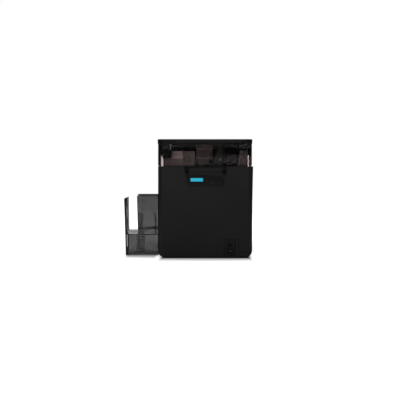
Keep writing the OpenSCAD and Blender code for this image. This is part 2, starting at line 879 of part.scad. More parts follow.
// A spool: shaft, core, wound roll and front ring.
module spool(x, z, roll_r, front_r, front, end) {
    union() {
        bar_y(x, z, shaft_r, [mid_y - 30, end]);
        bar_y(x, z, front_r, front);
        bar_y(x, z, roll_r, [mid_y - 23, mid_y + 29]);
        bar_y(x, z, roll_r < 15 ? roll_r + 2.5 : 13.5, [mid_y - 29, mid_y - 26]);
        bar_y(x, z, 8, [mid_y - 27, mid_y + 31]);
    }
}
module film_supply_spool() {
    color([0.75, 0.75, 0.72])
        spool(-film_half, film_z, film_full_r, 9, [mid_y - 35, mid_y - 28], idle_end);
}
module film_takeup_spool() {
    color([0.75, 0.75, 0.72])
        spool(film_half, film_z, film_used_r, 9, [mid_y - 35, mid_y - 28], shaft_end);
}
module ribbon_supply_spool() {
    color([0.4, 0.38, 0.36])
        spool(ribbon_supply_x, ribbon_z, ribbon_full_r, 9, [mid_y - 35, mid_y - 28], idle_end);
}
module ribbon_takeup_spool() {
    color([0.4, 0.38, 0.36])
        union() {
            spool(ribbon_take_x, ribbon_z, ribbon_used_r, 9, [mid_y - 33, mid_y - 28], gear_y + 7);
            translate([ribbon_take_x, 0, ribbon_z])
                front_shape([gear_y, gear_y + gear_t])
                    gear_outline(gear_teeth, 90);
        }
}
module ribbon_pinion() {
    color([0.75, 0.6, 0.3])
        union() {
            bar_y(ribbon_take_x, pinion_z, shaft_r, [gear_y, shaft_end]);
            translate([ribbon_take_x, 0, pinion_z])
                front_shape([gear_y, gear_y + gear_t])
                    gear_outline(pinion_teeth, 90 + 180 / pinion_teeth);
        }
}

// Turn-over unit: two guide plates between a rear disc and a front plate, round a roller pair.
flip_roller_r = 7;
flip_roller_z = flip_roller_r + card_t / 2;
module flipper_frame() {
    color([0.5, 0.5, 0.52])
        translate([flip_x, 0, card_z])
            difference() {
                union() {
                    bar_y(0, 0, shaft_r, [mid_y + 30, shaft_end]);
                    bar_y(0, 0, 26, [mid_y + 30, mid_y + 34]);
                    for (s = [-1, 1])
                        span([-flip_half, flip_half], [mid_y - 29, mid_y + 31],
                            [min(s * 2, s * 4.5), max(s * 2, s * 4.5)]);
                    span([-14, 14], [mid_y - 30, mid_y - 27], [-14, 14]);
                }
                span([-9, 9], [mid_y - 26, mid_y + 29], [-5, 5]);
                span([-15, 15], [mid_y - 31, mid_y - 26], [-1.5, 1.5]);
                for (s = [-1, 1])
                    bar_y(0, s * flip_roller_z, 2 + run, [mid_y - 31, mid_y + 35]);
            }
}
module flipper_roller(s) {
    color([0.25, 0.25, 0.25])
        union() {
            bar_y(flip_x, card_z + s * flip_roller_z, 2, [mid_y - 29.8, mid_y + 33.5]);
            bar_y(flip_x, card_z + s * flip_roller_z, flip_roller_r, [mid_y - 24, mid_y + 24]);
        }
}
module flipper_roller_upper() {
    flipper_roller(1);
}
module flipper_roller_lower() {
    flipper_roller(-1);
}

// Clear hopper: a lower box for finished cards under an open stack guide for blank cards.
module hopper_outline() {
    r = 7;
    slot_low = [slot_left + 0.4 * hopper_lean, slot_right + 0.56 * hopper_lean];
    polygon([[hopper_left + hopper_lean, hopper_floor], [hopper_right, hopper_floor],
        [hopper_right, hopper_top], [slot_right + r, hopper_top], [slot_right, hopper_top - r],
        [slot_low[1], box_top + 3], [slot_low[1] - 3, box_top], [slot_low[0] + 9, box_top],
        [slot_low[0] + 3, box_top + 2.5], [slot_low[0], box_top + 9],
        [slot_left, post_top - 1], [slot_left - 1, post_top],
        [hopper_left + r / 2, post_top], [hopper_left, post_top - r / 2]]);
}
module hopper_shell() {
    w = hopper_wall;
    color([0.3, 0.3, 0.3, 0.6])
        difference() {
            union() {
                front_shape([hopper_front, hopper_rear])
                    hopper_outline();
                span([slot_left, slot_right + hopper_lean], [hopper_rear - w, hopper_rear],
                    [box_top - 5, box_top + rear_rise]);
                front_shape([hopper_rear - w, hopper_rear])
                    polygon([[slot_right - rear_step, hopper_top - 8], [slot_right - 4, hopper_top - 1],
                        [slot_right - 3, hopper_top], [slot_right + 9, hopper_top],
                        [slot_right + 9, box_top], [slot_right - rear_step + 3, box_top]]);
            }
            front_shape([hopper_front + w, hopper_rear - w])
                polygon([[hopper_left + hopper_lean + w, hopper_floor + w],
                    [hopper_right - w, hopper_floor + w], [hopper_right - w, hopper_top + 1],
                    [hopper_left + w, hopper_top + 1]]);
            span([hopper_right - w - 1, hopper_right + 1], [card_front - 1.5, card_rear + 1.5],
                [card_z - slot_h / 2, card_z + slot_h / 2]);
            span([hopper_right - w - 1, hopper_right + 1], [card_front - 1.5, card_rear + 1.5],
                out_slot);
            span([hopper_left - 1, hopper_left + hopper_lean + w + 1], [mid_y - 18, mid_y + 18],
                [hopper_floor + 22, box_top - 4]);
        }
}
module hopper_shelf() {
    w = hopper_wall;
    color([0.15, 0.15, 0.15])
        span([slot_right + 3, hopper_right - w], [hopper_front + w, hopper_rear - w],
            [card_z - card_t / 2 - 2.5, card_z - card_t / 2 - 0.2]);
}

// Bracket behind the hopper: ribbed spine, cross plate and guide rail in one moulding.
module hopper_bracket() {
    y = [hopper_rear, hopper_rear + 6];
    arc_top = card_z - 5.5;
    color([0.12, 0.12, 0.12])
        union() {
            span([slot_right - 4.5, slot_right + 11.5], [y[0], y[0] + 3],
                [arc_top - 20, arc_top + 46.5]);
            for (x = [-9, -1.5, 8, 14.5])
                span([slot_right + x, slot_right + x + 1.5], [y[0], y[0] + 3],
                    [hopper_floor + 2, arc_top - 17]);
            for (i = [0:6])
                span([slot_right - 9, slot_right + 16], [y[0], y[0] + 3],
                    [hopper_floor + 2 + 7.6 * i, hopper_floor + 4.8 + 7.6 * i]);
            front_shape([y[0], y[0] + 3])
                polygon([[slot_right + 7, arc_top - 15], [slot_right + 15, arc_top - 8.3],
                    [slot_right + 24, arc_top - 1.7], [slot_right + 33, arc_top + 1.6],
                    [slot_right + 47, arc_top + 3.5], [hopper_right, arc_top + 3.5],
                    [hopper_right, arc_top - 1], [slot_right + 47, arc_top - 1],
                    [slot_right + 35, arc_top - 3], [slot_right + 26, arc_top - 6.5],
                    [slot_right + 16, arc_top - 14], [slot_right + 9, arc_top - 19]]);
            span([slot_right - 9, hopper_right], [y[0], y[0] + 3], [arc_top - 21.8, arc_top - 19.4]);
            span([hopper_right - 17, hopper_right - 12.8], y, [arc_top - 21.8, arc_top + 37]);
            bar_y(hopper_right - 18, arc_top + 43, 3, y);
            span([hopper_right - 19, hopper_right - 14], [y[0], y[0] + 2],
                [arc_top + 37, arc_top + 42]);
        }
}

// Swan-neck arms: each runs sideways from the hinge pin, then back to the frame.
module door_hinge_arms() {
    reach = 20;
    color([0.6, 0.6, 0.62])
        for (z = door_hinge_z)
            difference() {
                union() {
                    bar_z(axis_x, axis_y, 4.2, [z - 4, z + 4]);
                    span([axis_x, axis_x + reach + 3], [axis_y - 3, axis_y + 3], [z - 4, z + 4]);
                    span([axis_x + reach - 3, axis_x + reach + 3], [axis_y - 3, flange_y - 1],
                        [z - 4, z + 4]);
                    span([-side_x, axis_x + reach + 6], [flange_y - 2, flange_y], [z - 12, z + 12]);
                }
                bar_z(axis_x, axis_y, door_pin_r, [z - 5, z + 5]);
            }
}

// Two door hinge pins and two cover hinge pins.
module hinge_pins() {
    color([0.75, 0.75, 0.76])
        union() {
            for (z = door_hinge_z)
                bar_z(axis_x, axis_y, door_pin_r, [z - 8, z + 8]);
            for (s = [-1, 1])
                scale_side(s)
                    bar_x(cover_axis_y, cover_axis_z, cover_pin_r, [side_in - 6, side_x + 2]);
        }
}

magnet_z = [138, 158];
module door_magnet() {
    color([0.4, 0.4, 0.42])
        span([side_x - 15, side_x], [door_back, flange_y], magnet_z);
}

rocker_y = face_y + switch_recess + 3;
module switch_body() {
    h = switch_h / 2;
    w = switch_w / 2;
    front = face_y + switch_recess;
    color([0.06, 0.06, 0.06])
        difference() {
            union() {
                span([switch_x - w - 2, switch_x + w + 2], [front - 1.5, front],
                    [switch_z - h - 2, switch_z + h + 2]);
                span([switch_x - w + 0.1, switch_x + w - 0.1], [front - 1, door_back + 8],
                    [switch_z - h + 0.1, switch_z + h - 0.1]);
            }
            span([switch_x - w + 2, switch_x + w - 2], [front - 2, front + 14],
                [switch_z - h + 2, switch_z + h - 2]);
            bar_x(rocker_y, switch_z, 1.5 + run, [switch_x - w + 0.5, switch_x + w - 0.5]);
        }
}

module power_rocker() {
    h = switch_h / 2 - 4;
    w = switch_w / 2 - 2 - clear;
    color([0.09, 0.09, 0.09])
        union() {
            side_shape([switch_x - w, switch_x + w])
                translate([rocker_y, switch_z])
                    polygon([[-8, h], [-5, 0], [-4.2, -h], [1, -h + 1], [3, -7], [3, 7], [-2, h]]);
            bar_x(rocker_y, switch_z, 1.5, [switch_x - w - 1.5, switch_x + w + 1.5]);
        }
}

module frame_screws() {
    color([0.3, 0.3, 0.3])
        for (x = [-screw_x, screw_x], z = screw_z) {
            bar_y(x, z, 3, [back_y, back_y + 1.2]);
            bar_y(x, z, screw_r, [back_y - 8, back_y]);
        }
}

// Door: a deep shell with hinge lugs at the left and a stop block for the magnet.
module front_door() {
    color([0.11, 0.11, 0.11])
        difference() {
            union() {
                difference() {
                    intersection() {
                        plan_block(0, door_back, [floor_z, door_top], flare);
                        front_shape([face_y, door_back])
                            front_outline(0, door_top);
                    }
                    intersection() {
                        plan_block(wall, door_back + 1, [floor_z, door_top - wall], flare);
                        front_shape([face_y, door_back + 1])
                            front_outline(wall, door_top);
                    }
                }
                intersection() {
                    plan_block(0, door_back, [floor_z, door_top], flare);
                    union() {
                        for (z = door_hinge_z, s = [-7.4, 4.4]) {
                            bar_z(axis_x, axis_y, 4.2, [z + s, z + s + 3]);
                            span([-half_w + 1, axis_x + 4.2], [face_y + 1, axis_y],
                                [z + s, z + s + 3]);
                        }
                        span([side_x - 12, side_x - 3], [face_y + 1, door_back - clear],
                            [magnet_z[0] + 2, magnet_z[1] - 2]);
                        span([notch_left - wall, notch_left], [face_y + 1, door_back],
                            [floor_z + 1, notch_top + wall]);
                        span([notch_right, notch_right + wall], [face_y + 1, door_back],
                            [sill_top + 1, notch_top + wall]);
                        span([notch_left - wall, notch_right + wall], [face_y + 1, door_back],
                            [notch_top, notch_top + wall]);
                        span([notch_right, half_w - 1], [face_y + 1, door_back],
                            [sill_top + 1, sill_top + 1 + wall]);
                    }
                }
            }
            span([notch_left, notch_right], [face_y - 1, door_back + 1], [0, notch_top]);
            span([notch_left, half_w + 10], [face_y - 1, door_back + 1], [0, sill_top + 1]);
            front_shape([face_y - 1, face_y + wall + 0.5])
                recess_outline(panel_low_z, door_top + 1, 0);
            span([recess_left, recess_right], [face_y - 1, face_y + 17],
                [door_top - wall - 1, door_top + 1]);
            for (z = door_hinge_z)
                bar_z(axis_x, axis_y, door_pin_r + run, [z - 8, z + 8]);
        }
}

// Scooped finger grip above the display.
module door_grip() {
    top = door_top - wall - clear;
    scoop_r = 22;
    color([0.13, 0.13, 0.13])
        difference() {
            union() {
                front_shape([face_y + 1, face_y + wall])
                    recess_outline(panel_top_z + clear, top, -clear);
                front_shape([face_y + wall, face_y + 18.5])
                    recess_outline(panel_top_z + clear, top, 0);
            }
            bar_x(face_y - 6, door_top - 1, scoop_r, [recess_left + 3, recess_right - 3]);
        }
}

module display_bezel() {
    lcd_z = [panel_mid_z + lcd_up - lcd_h / 2, panel_mid_z + lcd_up + lcd_h / 2];
    color([0.05, 0.05, 0.05])
        difference() {
            union() {
                front_shape([bezel_y, face_y + wall])
                    recess_outline(panel_low_z, panel_top_z, -clear);
                front_shape([face_y + wall, face_y + wall + 2])
                    recess_outline(panel_low_z, panel_top_z - 3, 3);
            }
            span([lcd_left, lcd_left + lcd_w], [bezel_y - 1, bezel_y + 1], lcd_z);
            for (x = key_x)
                bar_y(x, panel_mid_z, key_r + clear, [bezel_y - 1, face_y + wall + 3]);
        }
}

module lcd_screen() {
    lcd_z = [panel_mid_z + lcd_up - lcd_h / 2, panel_mid_z + lcd_up + lcd_h / 2];
    color([0.18, 0.7, 0.82])
        span([lcd_left + 0.1, lcd_left + lcd_w - 0.1], [bezel_y + 0.4, bezel_y + 1],
            [lcd_z[0] + 0.1, lcd_z[1] - 0.1]);
}

board_front = face_y + wall + 2 + 1.2 + clear + key_travel + 0.4;
module display_board() {
    color([0.1, 0.3, 0.15])
        union() {
            span([-40, 52], [board_front, board_front + 1.6], [panel_mid_z - 13, panel_mid_z + 10]);
            for (x = [-38, 6, 50])
                bar_y(x, panel_mid_z - 9, 1.8, [face_y + wall + 2, board_front]);
        }
}

module key(i) {
    color([0.16, 0.16, 0.16])
        union() {
            bar_y(key_x[i], panel_mid_z, key_r, [bezel_y - 0.8, face_y + wall + 2.5]);
            bar_y(key_x[i], panel_mid_z, key_r + 1.2,
                [face_y + wall + 2 + clear, face_y + wall + 2 + clear + 1.2]);
        }
}
module key_left() {
    key(0);
}
module key_middle() {
    key(1);
}
module key_right() {
    key(2);
}

// Smoked cover: front wall and both sides in one moulding.
module cover_window() {
    color([0.25, 0.2, 0.2, 0.6])
        difference() {
            plan_block(0, cover_axis_y + 6, [cover_z, body_h - wall]);
            plan_block(wall, cover_axis_y + 7, [cover_z - 1, body_h]);
            for (s = [-1, 1])
                scale_side(s)
                    difference() {
                        span([inner_w - 1, half_w + 1], [cover_axis_y, cover_axis_y + 7],
                            [cover_axis_z, body_h]);
                        bar_x(cover_axis_y, cover_axis_z, barrel_r - wall,
                            [inner_w - 2, half_w + 2]);
                    }
        }
}

// Opaque top: plate, thin band round the window's edge and a hinge barrel along the rear.
module cover_cap() {
    color([0.07, 0.07, 0.07])
        difference() {
            union() {
                difference() {
                    plan_block(-band_t, cover_axis_y, [body_h - band_h, body_h]);
                    plan_block(0, cover_axis_y + 1, [body_h - band_h - 1, body_h - wall]);
                }
                difference() {
                    bar_x(cover_axis_y, cover_axis_z, barrel_r, [-half_w - band_t, half_w + band_t]);
                    bar_x(cover_axis_y, cover_axis_z, barrel_r - wall, [-half_w, half_w]);
                    span([-half_w - 2, half_w + 2], [cover_axis_y - 20, cover_axis_y],
                        [body_h - 30, body_h + 1]);
                    span([-half_w - 2, half_w + 2], [cover_axis_y - 1, cover_axis_y + 20],
                        [body_h - 30, cover_axis_z - 3]);
                }
                for (s = [-1, 1])
                    scale_side(s) {
                        bar_x(cover_axis_y, cover_axis_z, 6.5, [side_in - 4, side_in - 1]);
                        span([side_in - 4, side_in - 1], [cover_axis_y - 6.5, cover_axis_y],
                            [cover_axis_z, body_h - wall + 0.5]);
                    }
            }
            for (s = [-1, 1])
                scale_side(s) {
                    bar_x(cover_axis_y, cover_axis_z, cover_pin_r + run, [side_in - 5, side_in]);
                    span([side_in - 0.8, side_x + 0.8], [cover_axis_y - 0.5, cap_y],
                        [cover_axis_z - barrel_r, cover_axis_z + barrel_r * 0.75]);
                }
        }
}

// Latch housing at the left and sensor housing at the right, under the cover's top.
module cover_blocks() {
    y = [face_y + wall + clear, flange_y - 3.5];
    color([0.06, 0.06, 0.06])
        intersection() {
            plan_block(wall + clear, flange_y, [cover_z, body_h - wall]);
            union() {
                span([-127, -102], y, [cover_z + 24, body_h - wall]);
                span([-half_w, -126], y, [cover_z + 34, body_h - wall]);
                span([105, half_w], y, [cover_z + 51, body_h - wall]);
            }
        }
}

base_pan();
rubber_feet();
side_panel_left();
side_panel_right();
rear_panel();
rear_top_cap();
front_plinth();
side_plate_left();
side_plate_right();
mechanism_plate();
shaft_bushes();
power_supply();
main_board();
fan_frame();
fan_rotor();
power_inlet();
card_guide_rails();
film_cassette_frame();
ribbon_cassette_frame();
head_duct();
head_pivot_shaft();
drive_motors();
transport_belt();
hopper_shell();
hopper_shelf();
hopper_bracket();
door_hinge_arms();
hinge_pins();
door_magnet();
switch_body();
frame_screws();
front_door();
door_grip();
display_bezel();
lcd_screen();
display_board();
key_left();
key_middle();
key_right();
cover_window();
cover_cap();
cover_blocks();
power_rocker();
feed_roller();
cleaning_roller();
transport_roller();
nip_roller();
pressure_roller();
heat_roller();
platen_roller();
peel_roller();
film_supply_spool();
film_takeup_spool();
ribbon_supply_spool();
ribbon_takeup_spool();
ribbon_pinion();
flipper_frame();
flipper_roller_upper();
flipper_roller_lower();
print_head();
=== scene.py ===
import math
import json

import bmesh
import bpy
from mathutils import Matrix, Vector

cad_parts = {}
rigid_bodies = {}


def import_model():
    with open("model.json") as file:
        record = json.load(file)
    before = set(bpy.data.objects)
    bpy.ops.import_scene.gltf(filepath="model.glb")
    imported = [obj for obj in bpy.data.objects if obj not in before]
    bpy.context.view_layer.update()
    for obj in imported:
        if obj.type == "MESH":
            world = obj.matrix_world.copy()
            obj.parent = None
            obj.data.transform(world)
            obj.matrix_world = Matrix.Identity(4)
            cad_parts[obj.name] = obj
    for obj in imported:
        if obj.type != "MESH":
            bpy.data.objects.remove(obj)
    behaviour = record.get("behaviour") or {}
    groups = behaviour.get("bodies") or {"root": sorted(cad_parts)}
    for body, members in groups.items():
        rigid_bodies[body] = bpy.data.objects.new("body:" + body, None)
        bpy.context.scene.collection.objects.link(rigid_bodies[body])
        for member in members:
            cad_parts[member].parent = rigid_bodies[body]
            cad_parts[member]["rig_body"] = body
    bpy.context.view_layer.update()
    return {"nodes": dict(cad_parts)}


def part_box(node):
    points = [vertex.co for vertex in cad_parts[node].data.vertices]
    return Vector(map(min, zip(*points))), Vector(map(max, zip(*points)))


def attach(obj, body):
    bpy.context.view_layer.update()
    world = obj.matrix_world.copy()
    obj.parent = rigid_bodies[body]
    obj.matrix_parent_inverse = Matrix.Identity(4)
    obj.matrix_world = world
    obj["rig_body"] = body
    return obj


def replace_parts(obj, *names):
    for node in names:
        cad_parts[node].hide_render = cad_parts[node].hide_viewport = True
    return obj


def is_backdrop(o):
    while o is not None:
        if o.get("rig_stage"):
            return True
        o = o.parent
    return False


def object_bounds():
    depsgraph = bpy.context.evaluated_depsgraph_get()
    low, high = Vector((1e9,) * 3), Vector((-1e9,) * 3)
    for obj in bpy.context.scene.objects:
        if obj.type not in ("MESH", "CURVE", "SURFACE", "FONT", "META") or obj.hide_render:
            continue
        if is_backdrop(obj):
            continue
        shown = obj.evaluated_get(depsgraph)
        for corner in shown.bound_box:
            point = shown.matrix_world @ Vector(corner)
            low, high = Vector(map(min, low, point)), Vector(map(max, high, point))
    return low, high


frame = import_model()

# Viewpoint. The printer is seen from straight in front, with the eye level with the foot of
# its top cover, 1.8 m before the door.
mm = 0.001
px = 3.0 * mm
picture_px = 400
eye_height = 0.280
eye_distance = 1.80
front_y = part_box("front_door")[0].y
body_centre_px = 205.0
table_line_px = 257.8
view_width = picture_px * px

lens = bpy.data.cameras.new("front_camera")
lens.sensor_width = 36.0
lens.lens = 36.0 * eye_distance / view_width
lens.shift_x = (picture_px / 2 - body_centre_px) * px / view_width
lens.shift_y = ((table_line_px - picture_px / 2) * px - eye_height) / view_width
lens.clip_end = 50.0
camera = bpy.data.objects.new("front_camera", lens)
camera.location = (0.0, front_y - eye_distance, eye_height)
camera.rotation_euler = (math.radians(90), 0.0, 0.0)
bpy.context.scene.collection.objects.link(camera)
bpy.context.scene.camera = camera
bpy.context.scene.view_settings.view_transform = "Standard"

# Table. A white top that shows plain white a hand's width away from the printer. Near the
# printer its colour and glow darken with distance from the footprints: a painted shadow,
# paler round the hopper, which lets light by.
white_far, glow_far = 0.82, 0.62
painted_shadow_from, painted_shadow_reach, painted_shadow_curve = 0.003, 0.085, 0.65
side_inset, side_steep = 0.014, 7.0
hopper_lift, under_lift = 0.012, 0.03
under_reach = 0.0002
reach = 4.0


def shown_rays(tree):
    """One for the rays by which the camera sees the background, straight or through glass."""
    path = tree.nodes.new("ShaderNodeLightPath")
    total = tree.nodes.new("ShaderNodeMath")
    total.operation = "MAXIMUM"
    tree.links.new(path.outputs["Is Camera Ray"], total.inputs[0])
    tree.links.new(path.outputs["Is Transmission Ray"], total.inputs[1])
    return total.outputs[0]


def place_on_piece(tree, kind="Object"):
    """The X, Y and Z of a place, as three sockets."""
    where = tree.nodes.new("ShaderNodeTexCoord")
    split = tree.nodes.new("ShaderNodeSeparateXYZ")
    tree.links.new(where.outputs[kind], split.inputs[0])
    return split.outputs


def combine(tree, operation, first, second=0.0):
    """One math node, fed by numbers or by sockets."""
    node = tree.nodes.new("ShaderNodeMath")
    node.operation = operation
    for socket, value in zip(node.inputs, (first, second)):
        if isinstance(value, float):
            socket.default_value = value
        else:
            tree.links.new(value, socket)
    return node.outputs[0]


def spread(tree, value, low, high, to_low, to_high):
    """Maps one span of a value on to another, held at both ends."""
    ramp = tree.nodes.new("ShaderNodeMapRange")
    ends = (("From Min", low), ("From Max", high), ("To Min", to_low), ("To Max", to_high))
    for label, number in ends:
        ramp.inputs[label].default_value = number
    tree.links.new(value, ramp.inputs["Value"])
    return ramp.outputs[0]


def away_from(tree, across, along, names):
    """How far a place lies off the footprint of some nodes, growing faster beyond its sides."""
    low = [min(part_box(name)[0][i] for name in names) for i in (0, 1)]
    high = [max(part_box(name)[1][i] for name in names) for i in (0, 1)]
    parts = []
    for socket, a, b, inset, steep in ((across, low[0], high[0], side_inset, side_steep),
                                       (along, low[1], high[1], 0.0, 1.0)):
        shifted = combine(tree, "SUBTRACT", socket, (a + b) / 2)
        half = (b - a) / 2 - inset
        outside = combine(tree, "SUBTRACT", combine(tree, "ABSOLUTE", shifted), half)
        parts.append(combine(tree, "MULTIPLY", combine(tree, "MAXIMUM", outside, 0.0), steep))
    return combine(tree, "MAXIMUM", *parts)


table_mesh = bpy.data.meshes.new("table_top")
table_mesh.from_pydata(
    [(-reach, -reach, 0), (reach, -reach, 0), (reach, reach, 0), (-reach, reach, 0)],
    [], [(0, 1, 2, 3)])
table = bpy.data.objects.new("table_top", table_mesh)
bpy.context.scene.collection.objects.link(table)
table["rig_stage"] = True
white_top = bpy.data.materials.new("white_top")
white_top.use_nodes = True
tree = white_top.node_tree
tree.nodes.clear()
out = tree.nodes.new("ShaderNodeOutputMaterial")
matt = tree.nodes.new("ShaderNodeBsdfDiffuse")
glow = tree.nodes.new("ShaderNodeEmission")
place = place_on_piece(tree)
body_names = ("front_door", "side_panel_left", "side_panel_right", "rear_panel")
from_body = away_from(tree, place["X"], place["Y"], body_names)
from_hopper = away_from(tree, place["X"], place["Y"], ("hopper_shell",))
# The painted shadow is lifted round the hopper and under it.
under = combine(tree, "LESS_THAN", from_hopper, under_reach)
lifted = combine(tree, "ADD", from_hopper, hopper_lift)
lifted = combine(tree, "ADD", lifted, combine(tree, "MULTIPLY", under, under_lift))
nearest = combine(tree, "MINIMUM", from_body, lifted)
# Painted shadow: colour and glow fade with distance from the footprints, not with light.
painted_shadow_free = spread(tree, nearest, painted_shadow_from, painted_shadow_reach, 0.0, 1.0)
painted_shadow_free = combine(tree, "POWER", painted_shadow_free, painted_shadow_curve)
seen = shown_rays(tree)
darker = combine(tree, "MULTIPLY", seen, combine(tree, "SUBTRACT", 1.0, painted_shadow_free))
painted_shadow_tone = combine(tree, "SUBTRACT", 1.0, darker)
tree.links.new(combine(tree, "MULTIPLY", painted_shadow_tone, white_far), matt.inputs["Color"])
shining = combine(tree, "MULTIPLY", painted_shadow_free, glow_far)
tree.links.new(combine(tree, "MULTIPLY", shining, seen), glow.inputs["Strength"])
both = tree.nodes.new("ShaderNodeAddShader")
tree.links.new(matt.outputs[0], both.inputs[0])
tree.links.new(glow.outputs[0], both.inputs[1])
tree.links.new(both.outputs[0], out.inputs["Surface"])
table_mesh.materials.append(white_top)

# Light. A white room, dim at the level of the printer and bright overhead, with a large soft
# box above the printer and a weaker one in front, so that black plastic stays black.
room_low, room_high = 0.10, 0.80

world = bpy.data.worlds.new("white_room")
bpy.context.scene.world = world
world.use_nodes = True
tree = world.node_tree
tree.nodes.clear()
out = tree.nodes.new("ShaderNodeOutputWorld")
room = tree.nodes.new("ShaderNodeBackground")
height = place_on_piece(tree, "Generated")["Z"]
upward = spread(tree, height, 0.05, 0.95, room_low, room_high)
tree.links.new(upward, room.inputs["Strength"])
plain = tree.nodes.new("ShaderNodeBackground")
plain.inputs["Color"].default_value = (1, 1, 1, 1)
plain.inputs["Strength"].default_value = 1.0
pick = tree.nodes.new("ShaderNodeMixShader")
tree.links.new(shown_rays(tree), pick.inputs[0])
tree.links.new(room.outputs[0], pick.inputs[1])
tree.links.new(plain.outputs[0], pick.inputs[2])
tree.links.new(pick.outputs[0], out.inputs["Surface"])


def soft_box(name, place, aim, size, watts):
    """A rectangular lamp turned towards a point."""
    lamp = bpy.data.lights.new(name, "AREA")
    lamp.shape = "RECTANGLE"
    lamp.size, lamp.size_y = size
    lamp.energy = watts
    box = bpy.data.objects.new(name, lamp)
    box.location = place
    box.rotation_euler = (Vector(aim) - Vector(place)).to_track_quat("-Z", "Y").to_euler()
    bpy.context.scene.collection.objects.link(box)


soft_box("overhead_box", (0.0, 0.25, 2.1), (0.0, 0.05, 0.2), (2.4, 1.8), 30.0)
soft_box("front_box", (-0.4, -2.6, 1.1), (0.0, 0.0, 0.2), (2.0, 1.0), 14.5)

# Feet and base pan. Four round rubber feet under a bent tray of zinc plated sheet, which
# carries the frame, the power supply and the main board.
nodes = frame["nodes"]


def shared_effect(name, given, result):
    """A node group with number inputs and one number output."""
    group = bpy.data.node_groups.new(name, "ShaderNodeTree")
    for label, value in given.items():
        socket = group.interface.new_socket(label, in_out="INPUT", socket_type="NodeSocketFloat")
        socket.default_value = value
    group.interface.new_socket(result, in_out="OUTPUT", socket_type="NodeSocketFloat")
    return group, group.nodes.new("NodeGroupInput"), group.nodes.new("NodeGroupOutput")


def place_noise(tree, scale, detail, stretch=(1, 1, 1)):
    """Noise fixed to the piece, stretched along an axis for brushed metal and windings."""
    where = tree.nodes.new("ShaderNodeTexCoord")
    turn = tree.nodes.new("ShaderNodeMapping")
    turn.inputs["Scale"].default_value = stretch
    noise = tree.nodes.new("ShaderNodeTexNoise")
    noise.inputs["Detail"].default_value = detail
    tree.links.new(where.outputs["Object"], turn.inputs["Vector"])
    tree.links.new(turn.outputs["Vector"], noise.inputs["Vector"])
    if isinstance(scale, float):
        noise.inputs["Scale"].default_value = scale
    else:
        tree.links.new(scale, noise.inputs["Scale"])
    return noise.outputs["Fac"]


mould_grain, given, result = shared_effect("mould_grain", {"Scale": 900.0}, "Height")
fine = place_noise(mould_grain, given.outputs["Scale"], 3.0)
mould_grain.links.new(spread(mould_grain, fine, 0.35, 0.7, 0.0, 1.0), result.inputs["Height"])

tone_drift, given, result = shared_effect("tone_drift", {"Scale": 9.0}, "Tone")
slow = place_noise(tone_drift, given.outputs["Scale"], 4.0)
tone_drift.links.new(spread(tone_drift, slow, 0.3, 0.7, 0.0, 1.0), result.inputs["Tone"])

edge_polish, given, result = shared_effect("edge_polish", {"Reach": 0.0012}, "Mask")
rounded = edge_polish.nodes.new("ShaderNodeBevel")
rounded.samples = 4
edge_polish.links.new(given.outputs["Reach"], rounded.inputs["Radius"])
facing = edge_polish.nodes.new("ShaderNodeNewGeometry")
agree = edge_polish.nodes.new("ShaderNodeVectorMath")
agree.operation = "DOT_PRODUCT"
edge_polish.links.new(rounded.outputs["Normal"], agree.inputs[0])
edge_polish.links.new(facing.outputs["Normal"], agree.inputs[1])
worn = spread(edge_polish, agree.outputs["Value"], 0.70, 0.98, 1.0, 0.0)
broken = spread(edge_polish, place_noise(edge_polish, 60.0, 5.0), 0.35, 0.6, 0.2, 1.0)
edge_polish.links.new(combine(edge_polish, "MULTIPLY", worn, broken), result.inputs["Mask"])

level_faces, given, result = shared_effect("level_faces", {"Start": 0.6}, "Mask")
facing = level_faces.nodes.new("ShaderNodeNewGeometry")
turn = level_faces.nodes.new("ShaderNodeVectorTransform")
turn.vector_type = "NORMAL"
turn.convert_from, turn.convert_to = "WORLD", "OBJECT"
upright = level_faces.nodes.new("ShaderNodeSeparateXYZ")
level_faces.links.new(facing.outputs["Normal"], turn.inputs[0])
level_faces.links.new(turn.outputs[0], upright.inputs[0])
level = spread(level_faces, upright.outputs["Z"], 0.6, 1.0, 0.0, 1.0)
level_faces.links.new(given.outputs["Start"], level.node.inputs["From Min"])
level_faces.links.new(level, result.inputs["Mask"])

settled_dust, given, result = shared_effect("settled_dust", {"Amount": 0.1}, "Mask")
flat_node = settled_dust.nodes.new("ShaderNodeGroup")
flat_node.node_tree = level_faces
flat = flat_node.outputs[0]
specks = spread(settled_dust, place_noise(settled_dust, 240.0, 6.0), 0.45, 0.75, 0.0, 1.0)
amount = combine(settled_dust, "MULTIPLY", flat, specks)
amount = combine(settled_dust, "MULTIPLY", amount, given.outputs["Amount"])
settled_dust.links.new(amount, result.inputs["Mask"])


def use(tree, group, **values):
    """Places a shared effect in a material, with its own values."""
    node = tree.nodes.new("ShaderNodeGroup")
    node.node_tree = group
    for label, value in values.items():
        node.inputs[label.capitalize()].default_value = value
    return node.outputs[0]


def tinted(tree, mask, base, other):
    """Mixes two colours, or a socket and a colour, by a mask."""
    mix = tree.nodes.new("ShaderNodeMix")
    mix.data_type = "RGBA"
    tree.links.new(mask, mix.inputs["Factor"])
    for label, colour in (("A", base), ("B", other)):
        socket = [s for s in mix.inputs if s.name == label and s.type == "RGBA"][0]
        if isinstance(colour, tuple):
            socket.default_value = (*colour, 1.0)
        else:
            tree.links.new(colour, socket)
    return [s for s in mix.outputs if s.type == "RGBA"][0]


dust_grey = (0.42, 0.41, 0.39)


def raise_grain(tree, shader, height, depth):
    """Turns a height into fine relief on the surface."""
    bump = tree.nodes.new("ShaderNodeBump")
    bump.inputs["Distance"].default_value = depth
    tree.links.new(height, bump.inputs["Height"])
    tree.links.new(bump.outputs["Normal"], shader.inputs["Normal"])


